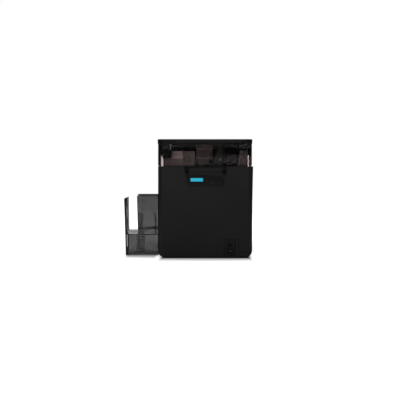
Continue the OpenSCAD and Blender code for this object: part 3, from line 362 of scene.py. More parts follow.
def finish(name, colour, rough, *, metal=0.0, specular=0.5, grain=900.0, depth=0.00002,
           drift=0.15, polish=0.3, worn_tone=1.7, worn_reach=0.0012, dust=0.05, alpha=1.0,
           brushed=None, marks=()):
    """A finish with drifting tone, surface grain, polished edges, dust and marks, which are print
    or own colour on some materials and painted light or shade on others.
    """
    material = bpy.data.materials.new(name)
    material.use_nodes = True
    tree = material.node_tree
    shader = tree.nodes["Principled BSDF"]
    shader.inputs["Metallic"].default_value = metal
    shader.inputs["Specular IOR Level"].default_value = specular
    shader.inputs["Alpha"].default_value = alpha
    darker = tuple(c * (1 - drift) for c in colour)
    lighter = tuple(min(1.0, c * (1 + drift)) for c in colour)
    shown = tinted(tree, use(tree, tone_drift, scale=9.0), darker, lighter)
    for mask, other in marks:
        shown = tinted(tree, mask(tree), shown, other)
    worn = use(tree, edge_polish, reach=worn_reach)
    rubbed_tone = tuple(min(1.0, c * worn_tone + 0.003 * (worn_tone > 1)) for c in colour)
    shown = tinted(tree, combine(tree, "MULTIPLY", worn, float(polish)), shown, rubbed_tone)
    if dust:
        shown = tinted(tree, use(tree, settled_dust, amount=dust), shown, dust_grey)
    tree.links.new(shown, shader.inputs["Base Color"])
    if brushed:
        height = place_noise(tree, 60.0, 4.0, brushed)
    else:
        height = use(tree, mould_grain, scale=grain)
    gloss = spread(tree, height, 0.0, 1.0, rough * 0.88, min(1.0, rough * 1.12))
    rubbed = combine(tree, "MULTIPLY", worn, 0.15 * polish)
    tree.links.new(combine(tree, "SUBTRACT", gloss, rubbed), shader.inputs["Roughness"])
    raise_grain(tree, shader, height, depth)
    return material


def dress(material, *names):
    """Gives CAD nodes their finish."""
    for name in names:
        mesh = nodes[name].data
        mesh.materials.clear()
        mesh.materials.append(material)


def keep(piece, body):
    """Puts a new piece on its body."""
    if piece.name not in bpy.context.scene.collection.objects:
        bpy.context.scene.collection.objects.link(piece)
    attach(piece, body)
    return piece


def eased(name, width, material, steps=3):
    """A moulded or bent form of a CAD piece: its own faces, with every sharp edge rounded."""
    source = nodes[name]
    shape = bmesh.new()
    shape.from_mesh(source.data)
    bmesh.ops.remove_doubles(shape, verts=shape.verts, dist=0.000002)
    bmesh.ops.dissolve_limit(shape, angle_limit=math.radians(0.4), verts=shape.verts,
                             edges=shape.edges)
    mesh = bpy.data.meshes.new(name + "_made")
    shape.to_mesh(mesh)
    shape.free()
    mesh.materials.append(material)
    mesh.shade_smooth()
    piece = bpy.data.objects.new(name + "_made", mesh)
    rounding = piece.modifiers.new("rounding", "BEVEL")
    rounding.width = width
    rounding.segments = steps
    rounding.limit_method = "ANGLE"
    rounding.angle_limit = math.radians(34)
    rounding.harden_normals = True
    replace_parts(piece, name)
    return keep(piece, source["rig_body"])


foot_rubber = finish("foot_rubber", (0.015, 0.015, 0.015), 0.8, grain=500.0)
zinc = finish("zinc", (0.60, 0.56, 0.565), 0.40, metal=0.75, brushed=(1, 6, 40))
eased("rubber_feet", 0.0006, foot_rubber)
dress(zinc, "base_pan")

# Steel frame. Two bent side plates of zinc plated sheet stand on the pan; the mechanism plate
# between them is coated black, with a turned bronze bush for each shaft.
plate_black = finish("plate_black", (0.016, 0.015, 0.0145), 0.55, specular=0.3, brushed=(30, 1, 1))
bright_steel = finish("bright_steel", (0.66, 0.66, 0.67), 0.22, metal=1.0,
                      brushed=(4, 40, 4), depth=0.00001, dust=0.0)
bush_bronze = finish("bush_bronze", (0.60, 0.40, 0.14), 0.3, metal=1.0, brushed=(4, 40, 4),
                     dust=0.0)
pillar_zinc = finish("pillar_zinc", (1.0, 0.82, 0.85), 0.355, metal=1.0, brushed=(1, 6, 40),
                     drift=0.06, polish=0.0, dust=0.0)
for name in ("side_plate_left", "side_plate_right"):
    eased(name, 0.0003, pillar_zinc, 2)
eased("door_hinge_arms", 0.0004, zinc, 2)
dress(plate_black, "mechanism_plate")
dress(bright_steel, "hinge_pins")
dress(bush_bronze, "shaft_bushes", "ribbon_pinion")

# Drive. Square stepping motors on posts behind the plate, with cast end bells round a stack
# of black laminations, and a toothed belt round the card rollers' pulleys.
motor_half, motor_deep = 21.2, 34
bell_front, bell_rear, bell_proud = 7, 8, 0.05


def blocks(name, corners, material, body, easing=0.0003, steps=2):
    """One piece made of eased blocks, each given by its spans along X, Y and Z in mm."""
    shape = bmesh.new()
    for spans in corners:
        grid = [shape.verts.new(Vector((x, y, z)) * mm)
                for x in spans[0] for y in spans[1] for z in spans[2]]
        for face in ((0, 1, 3, 2), (4, 6, 7, 5), (0, 4, 5, 1), (2, 3, 7, 6), (0, 2, 6, 4),
                     (1, 5, 7, 3)):
            shape.faces.new([grid[i] for i in face])
    mesh = bpy.data.meshes.new(name)
    shape.to_mesh(mesh)
    shape.free()
    mesh.materials.append(material)
    mesh.shade_smooth()
    piece = bpy.data.objects.new(name, mesh)
    rounding = piece.modifiers.new("easing", "BEVEL")
    rounding.width = easing
    rounding.segments = steps
    rounding.limit_method = "ANGLE"
    rounding.harden_normals = True
    return keep(piece, body)


def middle(name):
    """A node's centre across and up, in mm."""
    low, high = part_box(name)
    return (low.x + high.x) / 2 / mm, (low.z + high.z) / 2 / mm


motor_black = finish("motor_black", (0.02, 0.02, 0.021), 0.4, metal=0.5, brushed=(1, 120, 1))
motor_cast = finish("motor_cast", (0.42, 0.42, 0.43), 0.5, metal=0.8, grain=500.0)
plug_white = finish("plug_white", (0.62, 0.61, 0.57), 0.45, dust=0.0)
belt_black = finish("belt_black", (0.02, 0.02, 0.02), 0.75, brushed=(500, 1, 1),
                    depth=0.0001, dust=0.0)
eased("drive_motors", 0.0005, motor_black, 2)
dress(belt_black, "transport_belt")
motor_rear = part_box("drive_motors")[1].y / mm
motor_front = motor_rear - motor_deep
bells = []
plugs = []
press_at = middle("pressure_roller")
for x, z in (press_at, middle("platen_roller"), middle("film_takeup_spool"),
             middle("flipper_frame"), middle("ribbon_pinion")):
    for y in ((motor_front + bell_proud, motor_front + bell_front),
              (motor_rear - bell_rear, motor_rear - bell_proud)):
        bells.append(((x - motor_half, x + motor_half), y, (z - motor_half, z + motor_half)))
    plugs.append(((x - 8, x + 8), (motor_rear - 7, motor_rear - 1), (z - 25, z - 20)))
blocks("motor_end_bells", bells, motor_cast, "chassis", 0.003, 3)
blocks("motor_plugs", plugs, plug_white, "chassis")

# Card rollers. Rubber sleeves ground true on bright shafts; the driven ones carry a flanged
# pulley behind the plate, the cleaning sleeve is tacky blue and the heat roller silicone red.


def turned(name, at, profile, material, body, sides=56):
    """Turns a line of (radius, y) points, in mm, about an axis along Y."""
    shape = bmesh.new()
    rings = []
    for radius, y in profile:
        turns = [2 * math.pi * i / sides for i in range(sides)]
        rings.append([shape.verts.new(Vector((at[0] + radius * math.cos(a), y,
                                              at[1] + radius * math.sin(a))) * mm)
                      for a in turns])
    for first, second in zip(rings, rings[1:]):
        for i in range(sides):
            j = (i + 1) % sides
            shape.faces.new((first[i], first[j], second[j], second[i]))
    shape.faces.new(rings[0])
    shape.faces.new(list(reversed(rings[-1])))
    bmesh.ops.recalc_face_normals(shape, faces=shape.faces)
    mesh = bpy.data.meshes.new(name)
    shape.to_mesh(mesh)
    shape.free()
    mesh.materials.append(material)
    mesh.shade_smooth()
    mesh.set_sharp_from_angle(angle=math.radians(30))
    return keep(bpy.data.objects.new(name, mesh), body)


def sleeve(radius, front, rear, ease=0.6):
    """Profile of a drum with eased rims."""
    return [(radius - ease, front), (radius, front + ease), (radius, rear - ease),
            (radius - ease, rear)]


card_rubber = finish("card_rubber", (0.035, 0.035, 0.036), 0.7, grain=1400.0, dust=0.0)
tacky_blue = finish("tacky_blue", (0.03, 0.12, 0.32), 0.35, grain=1400.0, dust=0.0)
peel_steel = finish("peel_steel", (0.07, 0.07, 0.072), 0.45, metal=1.0, brushed=(4, 40, 4),
                    dust=0.0)
heat_red = finish("heat_red", (0.34, 0.08, 0.04), 0.45, grain=1400.0, dust=0.0)
pulley_black = finish("pulley_black", (0.03, 0.03, 0.032), 0.5, dust=0.0)
shaft_radius = 3.0
drum_front, drum_rear = -138.0, -92.0
sleeves = {"feed_roller": card_rubber, "cleaning_roller": tacky_blue,
           "transport_roller": card_rubber, "nip_roller": card_rubber,
           "pressure_roller": card_rubber, "heat_roller": heat_red,
           "platen_roller": card_rubber, "peel_roller": peel_steel}
drum_radius = {"heat_roller": 14.0, "platen_roller": 12.0, "peel_roller": 9.0}
driven = ("feed_roller", "transport_roller", "pressure_roller")
for name, rubber in sleeves.items():
    body = nodes[name]["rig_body"]
    at = middle(name)
    low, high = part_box(name)
    radius = drum_radius.get(name, 8.0)
    drum = turned(name + "_drum", at, sleeve(radius, drum_front, drum_rear), rubber, body)
    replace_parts(drum, name)
    shaft = sleeve(shaft_radius, low.y / mm, high.y / mm, 0.4)
    turned(name + "_shaft", at, shaft, bright_steel, body, 32)
    if name in driven:
        pulley = [(10.6, -70.2), (11, -69.9), (11, -69.4), (9, -69.2), (9, -62.2),
                  (11, -62.0), (11, -61.5), (10.6, -61.2)]
        turned(name + "_pulley", at, pulley, pulley_black, body)

# Card rails. Black moulded guides, grooved for the card's two long edges and tied together
# from below; two arms hold them on the mechanism plate.
inner_black = finish("inner_black", (0.006, 0.006, 0.006), 0.55, specular=0.3, dust=0.02)
eased("card_guide_rails", 0.0004, inner_black, 2)

# Turn-over unit. Two grey guide plates between a rear disc and a small front plate, moulded
# in one piece, with a small pair of rubber rollers that holds the card while it is turned.
cassette_grey = finish("cassette_grey", (0.05, 0.05, 0.053), 0.5, dust=0.0)
eased("flipper_frame", 0.0005, cassette_grey, 2)
for name in ("flipper_roller_upper", "flipper_roller_lower"):
    body = nodes[name]["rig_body"]
    low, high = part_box(name)
    drum = turned(name + "_drum", middle(name), sleeve(7, -139, -91), card_rubber, body)
    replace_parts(drum, name)
    shaft = sleeve(2.0, low.y / mm, high.y / mm, 0.3)
    turned(name + "_shaft", middle(name), shaft, bright_steel, body, 24)

# Film cassette. A grey moulded frame that holds the full and the used film roll; the clear
# film runs from the left roll over the platen, down round the heat roller and back up.


def taut_line(stops):
    """Points of a strip pulled tight round (x, z, radius) stops; a minus sign winds left."""
    links = []
    for (x0, z0, r0), (x1, z1, r1) in zip(stops, stops[1:]):
        along = Vector((x1 - x0, z1 - z0))
        length = along.length
        u = along / length
        v = Vector((-u.y, u.x))
        lean = (r0 - r1) / length
        normal = u * lean + v * math.sqrt(max(0.0, 1 - lean * lean))
        links.append((Vector((x0, z0)) + normal * r0, Vector((x1, z1)) + normal * r1))
    points = [links[0][0]]
    for (x, z, r), before, after in zip(stops[1:-1], links, links[1:]):
        start, end = before[1] - Vector((x, z)), after[0] - Vector((x, z))
        turn = math.atan2(end.y, end.x) - math.atan2(start.y, start.x)
        turn = -((-turn) % (2 * math.pi)) if r > 0 else turn % (2 * math.pi)
        steps = max(1, int(abs(turn) / math.radians(8))) if abs(r) > 0.5 else 0
        first = math.atan2(start.y, start.x)
        points += [Vector((x + abs(r) * math.cos(first + turn * i / steps),
                           z + abs(r) * math.sin(first + turn * i / steps)))
                   for i in range(steps + 1)] if steps else [before[1]]
    points.append(links[-1][1])
    return points


def web(name, points, across, material, body="chassis", thick=0.06):
    """A thin strip along a line of points, with its width along Y, in mm."""
    shape = bmesh.new()
    rows = [[shape.verts.new(Vector((p.x, y, p.y)) * mm) for y in across] for p in points]
    for first, second in zip(rows, rows[1:]):
        shape.faces.new((first[0], first[1], second[1], second[0]))
    mesh = bpy.data.meshes.new(name)
    shape.to_mesh(mesh)
    shape.free()
    mesh.materials.append(material)
    mesh.shade_smooth()
    piece = bpy.data.objects.new(name, mesh)
    gauge = piece.modifiers.new("gauge", "SOLIDIFY")
    gauge.thickness = thick * mm
    gauge.offset = 0.0
    return keep(piece, body)


def spool_core(front, rear):
    """Profile of a spool: a hub and flange in front, the core, and a thin journal behind."""
    return [(6.4, front), (9, front + 0.8), (9, -144.4), (13, -144), (13.4, -143.6),
            (13.4, -141.2), (8, -141), (8, -84.2), (3, -84), (3, rear - 0.4), (2.6, rear)]


spool_white = finish("spool_white", (0.52, 0.52, 0.49), 0.4, dust=0.0)
film_wound = finish("film_wound", (0.33, 0.35, 0.36), 0.16, specular=0.6, drift=0.08,
                    brushed=(1, 420, 1), dust=0.0)
film_clear = finish("film_clear", (0.40, 0.42, 0.43), 0.12, drift=0.05, depth=0.0, dust=0.0,
                    alpha=0.25)
eased("film_cassette_frame", 0.0006, cassette_grey, 2)
roll_front, roll_rear = -138.0, -86.0
for name, radius in (("film_supply_spool", 34.0), ("film_takeup_spool", 22.0)):
    body = nodes[name]["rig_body"]
    at = middle(name)
    core = spool_core(*(corner.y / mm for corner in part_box(name)))
    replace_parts(turned(name + "_core", at, core, spool_white, body), name)
    turned(name + "_roll", at, sleeve(radius, roll_front, roll_rear, 0.15), film_wound, body,
           96)
supply_at, takeup_at = middle("film_supply_spool"), middle("film_takeup_spool")
platen_at, heat_at = middle("platen_roller"), middle("heat_roller")
film_path = taut_line([(*supply_at, 34.1), (*platen_at, 12.1), (*heat_at, -14.1),
                       (*takeup_at, 22.1)])
web("film_web", film_path, (-137, -93), film_clear)

# Ribbon cassette. A pinkish grey moulded frame lifted in and out from the top, with a darker
# hub plate; round toothed hubs drive its two spools, and the dark ribbon runs under the head.


def teeth(name, at, radius, count, front, material, body, size=1.1, deep=1.0):
    """A ring of short drive teeth standing on the face of a hub."""
    shape = bmesh.new()
    for i in range(count):
        a = 2 * math.pi * i / count
        out_way = Vector((math.cos(a), math.sin(a)))
        side_way = Vector((-out_way.y, out_way.x))
        ring = []
        for y in (front, front + deep):
            for r, s, taper in ((-1, -1, 1), (1, -1, 0.6), (1, 1, 0.6), (-1, 1, 1)):
                p = Vector(at) + out_way * (radius + r * size / 2)
                p = p + side_way * (s * taper * size / 2)
                ring.append(shape.verts.new(Vector((p.x, y, p.y)) * mm))
        for face in ((0, 1, 2, 3), (7, 6, 5, 4), (0, 4, 5, 1), (1, 5, 6, 2), (2, 6, 7, 3),
                     (3, 7, 4, 0)):
            shape.faces.new([ring[k] for k in face])
    bmesh.ops.recalc_face_normals(shape, faces=shape.faces)
    mesh = bpy.data.meshes.new(name)
    shape.to_mesh(mesh)
    shape.free()
    mesh.materials.append(material)
    piece = bpy.data.objects.new(name, mesh)
    rounding = piece.modifiers.new("easing", "BEVEL")
    rounding.width = 0.00012
    rounding.segments = 1
    return keep(piece, body)


def between(*limits, soft=0.0004):
    """A mask that is one between two places, in metres, on one axis or more."""
    def mask(tree):
        place = place_on_piece(tree)
        inside = 1.0
        for axis, low, high in zip(limits[::3], limits[1::3], limits[2::3]):
            off = combine(tree, "SUBTRACT", place[axis], (low + high) / 2)
            half = (high - low) / 2
            band = spread(tree, combine(tree, "ABSOLUTE", off), half - soft, half + soft, 1.0, 0.0)
            inside = combine(tree, "MULTIPLY", inside, band)
        return inside
    return mask


hub_x = middle("ribbon_supply_spool")[0] - 12
# The lighter line along the step between the cassette's lower and upper part is a painted
# highlight.
pink_low, pink_high, pink_ledge_highlight = (0.272, 0.172, 0.172), (0.53, 0.355, 0.355), (0.62, 0.47, 0.46)
# The dark line at the hub plate's left edge is painted shade in the gap between the parts.
plate_taupe, plate_gap_shade = (0.18, 0.131, 0.112), (0.09, 0.02, 0.02)
end_low, end_high = (0.27, 0.166, 0.174), (0.173, 0.132, 0.127)
cassette_pink = finish("cassette_pink", pink_low, 0.5, dust=0.0, polish=0.5,
                       marks=((between("Z", 0.2975, 0.4), pink_high),
                              (between("Z", 0.3030, 0.3055), pink_ledge_highlight),
                              (between("X", hub_x * mm, 0.06), plate_taupe),
                              (between("X", hub_x * mm - 0.002, hub_x * mm), plate_gap_shade),
                              (between("X", 0.06, 0.2), end_low),
                              (between("X", 0.06, 0.2, "Z", 0.301, 0.4), end_high)))
disc_dark = (0.017, 0.0155, 0.0145)
ribbon_wound = finish("ribbon_wound", (0.05, 0.035, 0.035), 0.3, brushed=(1, 420, 1),
                      dust=0.0, marks=((between("Y", -0.16, -0.1395), disc_dark),))
hub_dark = finish("hub_dark", (0.014, 0.0125, 0.0115), 0.45, specular=0.3, dust=0.0, polish=0.8)
hub_taupe = finish("hub_taupe", plate_taupe, 0.45, dust=0.0)
tooth_red = finish("tooth_red", (0.030, 0.007, 0.007), 0.6, specular=0.2, dust=0.0)
tooth_pale = finish("tooth_pale", (0.20, 0.175, 0.165), 0.45, dust=0.0)
eased("ribbon_cassette_frame", 0.0006, cassette_pink, 2)
hub_ring, hub_teeth = 8.0, 9
rim_ring, rim_teeth, rim_front = 13.0, 12, -148.8
for name, radius in (("ribbon_supply_spool", 17.0), ("ribbon_takeup_spool", 11.0)):
    body = nodes[name]["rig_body"]
    at = middle(name)
    front, rear = (corner.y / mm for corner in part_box(name))
    core = spool_core(front, rear)
    tooth = tooth_red if name == "ribbon_supply_spool" else tooth_pale
    if name == "ribbon_supply_spool":
        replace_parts(turned(name + "_core", at, core, hub_taupe, body), name)
        turned(name + "_roll", at, sleeve(radius, roll_front, roll_rear, 0.15), ribbon_wound,
               body, 96)
    else:
        dress(ribbon_wound, name)
    teeth(name + "_teeth", at, hub_ring, hub_teeth, front - 0.9, tooth, body, 3.2)
teeth("takeup_rim_teeth", middle("ribbon_takeup_spool"), rim_ring, rim_teeth, rim_front,
      tooth_pale, nodes["ribbon_takeup_spool"]["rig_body"], 2.3, 1.0)
ribbon_black = finish("ribbon_black", (0.012, 0.011, 0.011), 0.25, depth=0.0, dust=0.0)
ribbon_from, ribbon_to = middle("ribbon_supply_spool"), middle("ribbon_takeup_spool")
head_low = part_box("print_head")[0].z / mm
ribbon_path = taut_line([(*ribbon_from, -17.1), (press_at[0], head_low - 0.2, 0.01),
                         (13.0, head_low + 1.2, 0.01), (*middle("peel_roller"), -9.1),
                         (*ribbon_to, -11.1)])
web("ribbon_web", ribbon_path, (-137, -87), ribbon_black)

# Peel bracket. A dark upright plate before the steel peel roller, stiffened by two bright
# wires, which parts the ribbon from the film.
floor_of_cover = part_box("cover_window")[0].z / mm
bracket_z = (floor_of_cover + 1.5, floor_of_cover + 52)
bracket_y, arm_y = (-146.5, -144.5), (-145, -75.5)
arm_z = (bracket_z[1] - 6, bracket_z[1] - 3)
blocks("peel_bracket", [((30, 38.6), bracket_y, bracket_z),
                        ((53.4, 60), bracket_y, bracket_z),
                        ((30, 60), bracket_y, (bracket_z[1] - 12, bracket_z[1])),
                        ((30, 60), bracket_y, (bracket_z[0], bracket_z[0] + 6)),
                        ((31, 36), arm_y, arm_z),
                        ((54, 59), arm_y, arm_z)],
       hub_dark, "chassis", 0.0004)
wire_grey = finish("wire_grey", (0.30, 0.29, 0.29), 0.35, metal=0.6, dust=0.0)
blocks("peel_wires", [((41.2, 42.4), (-146.2, -145), bracket_z),
                      ((48.2, 49.2), (-146.2, -145), bracket_z)],
       wire_grey, "chassis", 0.0004)

# Print head. A brown anodised heat sink hung on its pivot shaft, with two machined ledges
# across its face, coloured lighter as a painted highlight, and a white plug at the top.
shaft_brown = finish("shaft_brown", (0.05, 0.032, 0.030), 0.5, metal=0.3, dust=0.0)
dress(shaft_brown, "head_pivot_shaft")
head_brown = finish("head_brown", (0.080, 0.052, 0.048), 0.42, metal=0.25, brushed=(20, 1, 1),
                    dust=0.0, polish=0.8)
ledge_painted_highlight = finish("ledge_painted_highlight", (0.34, 0.25, 0.23), 0.4, metal=0.3, brushed=(20, 1, 1),
                     dust=0.0)
eased("print_head", 0.0005, head_brown, 2)
head_low, head_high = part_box("print_head")
ledge_x = (head_low.x / mm + 1, head_high.x / mm - 1)
ledge_y = (head_low.y / mm - 0.3, head_low.y / mm + 3)
ledges = [(ledge_x, ledge_y, ledge_z) for ledge_z in ((327.2, 328.6), (299.2, 300.8))]
blocks("head_ledges", ledges, ledge_painted_highlight, "print_head", 0.0003)
blocks("head_plug", [((-16, 2), (-136, -90), (331.5, 339.5))], plug_white, "print_head",
       0.0005)

# Duct. A black moulded duct beside the print head, held on the mechanism plate. It is matt
# and hardly shows behind the smoked cover.
duct_black = finish("duct_black", (0.0022, 0.0017, 0.0017), 0.8, specular=0.02, dust=0.0,
                    polish=0.0)
eased("head_duct", 0.0006, duct_black, 2)

# Electrics. A folded aluminium power supply, a green main board with plain parts on it, and
# the socket shells that reach the rear panel.
board_green = finish("board_green", (0.012, 0.09, 0.04), 0.3, dust=0.05)
socket_shell = finish("socket_shell", (0.012, 0.09, 0.04), 0.3, dust=0.05, metal=0.0,
                      marks=((between("Z", 0.0168, 0.04), (0.30, 0.30, 0.31)),))
supply_metal = finish("supply_metal", (0.5, 0.5, 0.51), 0.35, metal=0.9, brushed=(20, 1, 1))
chip_black = finish("chip_black", (0.012, 0.012, 0.012), 0.45, dust=0.0)
eased("power_supply", 0.0006, supply_metal, 2)
dress(board_green, "display_board")
dress(socket_shell, "main_board")
board_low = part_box("main_board")[0]
board_top = board_low.z / mm + 12.1
board_front = board_low.y / mm
chips = []
for i in range(5):
    chips.append(((-12 + 22 * i, -4 + 22 * i), (board_front + 4, board_front + 12),
                  (board_top, board_top + 1.8)))
for i in range(4):
    chips.append(((34 + 9 * i, 38 + 9 * i), (board_front + 70, board_front + 76),
                  (board_top, board_top + 1.4)))
blocks("board_chips", chips, chip_black, "chassis", 0.0002, 1)
blocks("board_plugs", [((-14 + 26 * i, 2 + 26 * i), (board_front + 14, board_front + 19),
                        (board_top, board_top + 7)) for i in range(2)],
       plug_white, "chassis", 0.0003)

# Fan and mains inlet. A black moulded frame and its bladed rotor behind the rear grille, and
# a smoother inlet for the mains lead, snapped into the rear panel.
eased("fan_frame", 0.0005, inner_black, 2)
eased("fan_rotor", 0.0004, chip_black, 2)
switch_black = finish("switch_black", (0.0042, 0.0042, 0.0042), 0.35, specular=0.14, dust=0.0,
                      worn_tone=0.9)
eased("power_inlet", 0.0005, switch_black)

# Outer panels. Black mouldings with a fine spark-eroded grain, hooked on the frame and held
# by black screws at the rear; the fixed corner below the door carries the power switch.
shell_black = finish("shell_black", (0.0052, 0.0052, 0.0053), 0.5, specular=0.16, dust=0.03,
                     polish=0.7, worn_tone=0.4, worn_reach=0.003)
for name in ("side_panel_left", "side_panel_right", "rear_panel", "front_plinth"):
    eased(name, 0.0008, shell_black)
screw_black = finish("screw_black", (0.03, 0.03, 0.03), 0.35, metal=0.7)
eased("frame_screws", 0.0004, screw_black, 2)
screw_rows, lowest_screw, screw_margin, screw_inset = 5, 16, 26, 8.5
slot_half, slot_narrow, slot_face = 1.6, 0.35, 191.12
slots = []
for side in (-1, 1):
    x = side * (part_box("side_panel_right")[1].x / mm - screw_inset)
    for row in range(screw_rows):
        z = lowest_screw + row * (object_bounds()[1].z / mm - screw_margin) / (screw_rows - 1)
        slots.append(((x - slot_half, x + slot_half), (slot_face, slot_face + 0.14),
                      (z - slot_narrow, z + slot_narrow)))
        slots.append(((x - slot_narrow, x + slot_narrow), (slot_face, slot_face + 0.15),
                      (z - slot_half, z + slot_half)))
blocks("screw_slots", slots, chip_black, "chassis", 0.00005, 1)

# Front door. A deep shell hung on pins at its left edge, ribbed inside, with a scooped grip
# over the display panel; its free edge flares out for the fingers.
# Painted light in the grip's colour: a lighter band across the scoop's upper part lifts its shade,
# and two darker bands are painted shade at the scoop's ends.
grip_black = finish("grip_black", (0.0062, 0.0062, 0.0063), 0.55, specular=0.12, dust=0.0,
                    worn_tone=0.9, marks=((between("Z", 0.2515, 0.2675, soft=0.002),
                                           (0.022, 0.022, 0.022)),
                                          (between("X", -0.0635, -0.048, soft=0.001),
                                           (0.0048, 0.0048, 0.0044)),
                                          (between("X", 0.052, 0.067, soft=0.001),
                                           (0.0050, 0.0045, 0.0046))))
eased("front_door", 0.0009, shell_black)
eased("door_grip", 0.0009, grip_black)
door_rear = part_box("front_door")[1].y / mm
rib_y = (front_y / mm + 2.3, front_y / mm + 9)
ribs = [((x, x + 1.2), rib_y, (30 if x < 50 else 62, 205)) for x in (-110, -70, -30, 10, 50, 90)]
ribs += [((-131, 138), rib_y, (z, z + 1.2)) for z in (70, 110, 150, 190)]
ribs += [((-131, 54), rib_y, (30, 31.2))]
blocks("door_ribs", ribs, shell_black, "door", 0.0002, 1)
blocks("door_magnet_plate", [((118, 129), (door_rear - 0.4, door_rear - 0.05), (141, 155))],
       zinc, "door", 0.0001, 1)
eased("door_magnet", 0.0006, motor_black, 2)

# Display panel. Glossy black sheet with a lit cyan display, whose glass shows a faint grid of
# dots, and three small round keys.
panel_gloss = finish("panel_gloss", (0.0052, 0.0051, 0.0052), 0.30, specular=0.12, depth=0.0,
                     dust=0.0, worn_tone=0.9)
key_black = finish("key_black", (0.0054, 0.0054, 0.0055), 0.5, specular=0.10, dust=0.0,
                   worn_tone=0.8)
eased("display_bezel", 0.0003, panel_gloss)
for name in ("key_left", "key_middle", "key_right"):
    eased(name, 0.0007, key_black)
dot_pitch = 0.0006
lit_cyan = bpy.data.materials.new("lit_cyan")
lit_cyan.use_nodes = True
tree = lit_cyan.node_tree
shader = tree.nodes["Principled BSDF"]
place = place_on_piece(tree)
rows = []
for axis in ("X", "Z"):
    turns = combine(tree, "MULTIPLY", place[axis], 2 * math.pi / dot_pitch)
    wave = combine(tree, "SINE", turns)
    rows.append(spread(tree, wave, 0.6, 1.0, 0.0, 1.0))
grid = combine(tree, "MAXIMUM", *rows)
low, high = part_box("lcd_screen")
rim = []
for axis, a, b in (("X", low.x, high.x), ("Z", low.z, high.z)):
    centre = (a + b) / 2 - (0.0007 if axis == "Z" else 0.0)
    inward = combine(tree, "ABSOLUTE", combine(tree, "SUBTRACT", place[axis], centre))
    rim.append(spread(tree, inward, (b - a) / 2 - 0.0010, (b - a) / 2 - 0.0004, 0.0, 1.0))
shade = combine(tree, "MAXIMUM", *rim)
cloud = use(tree, tone_drift, scale=60.0)
lit = tinted(tree, cloud, (0.022, 0.42, 0.60), (0.030, 0.47, 0.66))
lit = tinted(tree, combine(tree, "MULTIPLY", grid, 0.25), lit, (0.014, 0.27, 0.40))
lit = tinted(tree, shade, lit, (0.004, 0.03, 0.04))
tree.links.new(lit, shader.inputs["Emission Color"])
shader.inputs["Emission Strength"].default_value = 0.9
shader.inputs["Base Color"].default_value = (0.01, 0.05, 0.07, 1)
glass_grain = use(tree, mould_grain, scale=1500.0)
tree.links.new(spread(tree, glass_grain, 0.0, 1.0, 0.16, 0.22), shader.inputs["Roughness"])
shader.inputs["Specular IOR Level"].default_value = 0.2
dress(lit_cyan, "lcd_screen")

# Power switch. A framed rocker snapped into a recess of the fixed corner, with a small white
# mark printed on the rocker's lower end.
printed_mark = between("X", 0.0754, 0.0776, "Z", 0.0180, 0.0205)
rocker_black = finish("rocker_black", (0.0034, 0.0034, 0.0034), 0.4, specular=0.12, dust=0.0,
                      worn_tone=0.9, marks=((printed_mark, (0.14, 0.14, 0.14)),))
eased("switch_body", 0.0005, switch_black)
eased("power_rocker", 0.0005, rocker_black)

# Top cover. Smoked brown acrylic round three sides under an opaque cap with a hinge barrel,
# a black latch housing at the left and a sensor housing with foam at the right.


def smoked(name, colour, face_cover, specular, dust, edge_reach=0.0015, thick=()):
    """Clear tinted plastic: it hides more where it is looked along, and at every edge."""
    material = bpy.data.materials.new(name)
    material.use_nodes = True
    tree = material.node_tree
    shader = tree.nodes["Principled BSDF"]
    shader.inputs["Specular IOR Level"].default_value = specular
    tones = [tuple(c * k for c in colour) for k in (0.9, 1.1)]
    shown = tinted(tree, use(tree, tone_drift, scale=9.0), *tones)
    shown = tinted(tree, use(tree, settled_dust, amount=dust), shown, dust_grey)
    worn = use(tree, edge_polish, reach=edge_reach)
    tree.links.new(shown, shader.inputs["Base Color"])
    film = use(tree, tone_drift, scale=40.0)
    tree.links.new(spread(tree, film, 0.0, 1.0, 0.06, 0.13), shader.inputs["Roughness"])
    facing = tree.nodes.new("ShaderNodeLayerWeight")
    facing.inputs["Blend"].default_value = 0.5
    square = combine(tree, "SUBTRACT", 1.0, facing.outputs["Facing"])
    level = combine(tree, "MAXIMUM", use(tree, level_faces), 0.05)
    squareness = combine(tree, "MAXIMUM", square, level)
    clear = combine(tree, "POWER", 1 - face_cover, combine(tree, "DIVIDE", 1.0, squareness))
    cover = combine(tree, "SUBTRACT", 1.0, clear)
    edged = combine(tree, "MAXIMUM", cover, combine(tree, "MULTIPLY", worn, 0.9))
    for mask, least in thick:
        edged = combine(tree, "MAXIMUM", edged, combine(tree, "MULTIPLY", mask(tree), least))
    tree.links.new(edged, shader.inputs["Alpha"])
    raise_grain(tree, shader, use(tree, mould_grain, scale=300.0), 0.000004)
    return material


smoke_brown = smoked("smoke_brown", (0.004, 0.003, 0.003), 0.22, 0.2, 0.03)
eased("cover_window", 0.0007, smoke_brown)
# The lighter strip across the cap's front lip is a painted sheen.
cap_black = finish("cap_black", (0.0026, 0.0026, 0.0027), 0.36, specular=0.12,
                   depth=0.00001, dust=0.05, worn_tone=0.9,
                   marks=((between("X", -0.087, 0.111, "Z", 0.344, 0.3535, "Y", -0.2, -0.18),
                           (0.0072, 0.0070, 0.0068)),))
for name in ("rear_top_cap", "cover_cap"):
    eased(name, 0.0011, cap_black)

foam_part = between("X", 0.104, 0.145)


def flecks(tree):
    """Pale flecks on the foam of the sensor housing, at the right of the cover."""
    spots = spread(tree, place_noise(tree, 210.0, 2.0, (1, 1, 0.5)), 0.56, 0.66, 0.0, 1.0)
    return combine(tree, "MULTIPLY", spots, foam_part(tree))


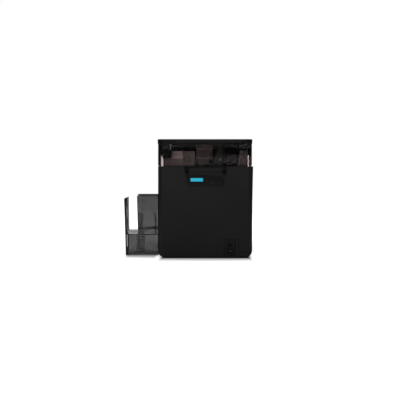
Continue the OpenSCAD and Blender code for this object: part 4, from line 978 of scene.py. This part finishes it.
latch_black = finish("latch_black", (0.0034, 0.0031, 0.0031), 0.5, specular=0.2, dust=0.0,
                     marks=((foam_part, (0.021, 0.0185, 0.019)),
                            (flecks, (0.16, 0.145, 0.15))))
eased("cover_blocks", 0.0005, latch_black, 2)
cover_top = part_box("cover_window")[1].z / mm
# A bright strip at the latch housing's right edge: a painted highlight for the glint on that edge.
blocks("latch_edge_highlight", [((-105.0, -102.1), (-187.45, -186.6), (cover_top - 29, cover_top - 12))],
       wire_grey, "top_cover", 0.0003)

# Card hopper. One smoked moulding hooked on the left side panel, with a shelf between the
# blank and the finished cards, and a ribbed bracket of darker smoked plastic behind it.
post_low, post_middle, post_high = 0.0, 0.126, 0.2
slot_x = (-0.2400, -0.2126)


def leaning(slope, low, high, bottom, top):
    """A mask along a post that leans to one side as it rises."""
    def mask(tree):
        place = place_on_piece(tree)
        level = combine(tree, "MULTIPLY", place["Z"], slope)
        off = combine(tree, "ADD", place["X"], level)
        off = combine(tree, "SUBTRACT", off, (low + high) / 2)
        half = (high - low) / 2
        band = spread(tree, combine(tree, "ABSOLUTE", off), half - 0.0003, half + 0.0003, 1.0, 0.0)
        return combine(tree, "MULTIPLY", band, between("Z", bottom, top)(tree))
    return mask


smoke_grey = smoked("smoke_grey", (0.015, 0.015, 0.015), 0.50, 0.10, 0.25,
                    thick=((leaning(0.027, -0.2434, -0.2405, post_low, post_middle), 0.94),
                           (leaning(0.027, -0.2434, -0.2410, post_middle, post_high), 0.70),
                           (leaning(0.020, -0.2398, -0.2378, 0.068, post_high), 0.75),
                           (between("X", *slot_x, "Z", 0.0712, 0.0775), 0.80),
                           (between("X", *slot_x, "Z", 0.0775, 0.082), 0.97),
                           (between("X", *slot_x, "Z", 0.0643, 0.0675), 0.80),
                           (between("Z", 0.1840, 0.2, "X", -0.22, -0.14), 0.85)))
eased("hopper_shell", 0.0008, smoke_grey)
eased("hopper_shelf", 0.0004, smoke_grey)
smoke_bracket = smoked("smoke_bracket", (0.004, 0.004, 0.004), 0.42, 0.05, 0.0, 0.0011,
                       thick=((between("Z", 0.0, 0.0605), 0.85),
                              (between("X", -0.1650, -0.1540), 0.65)))
eased("hopper_bracket", 0.0005, smoke_bracket, 2)
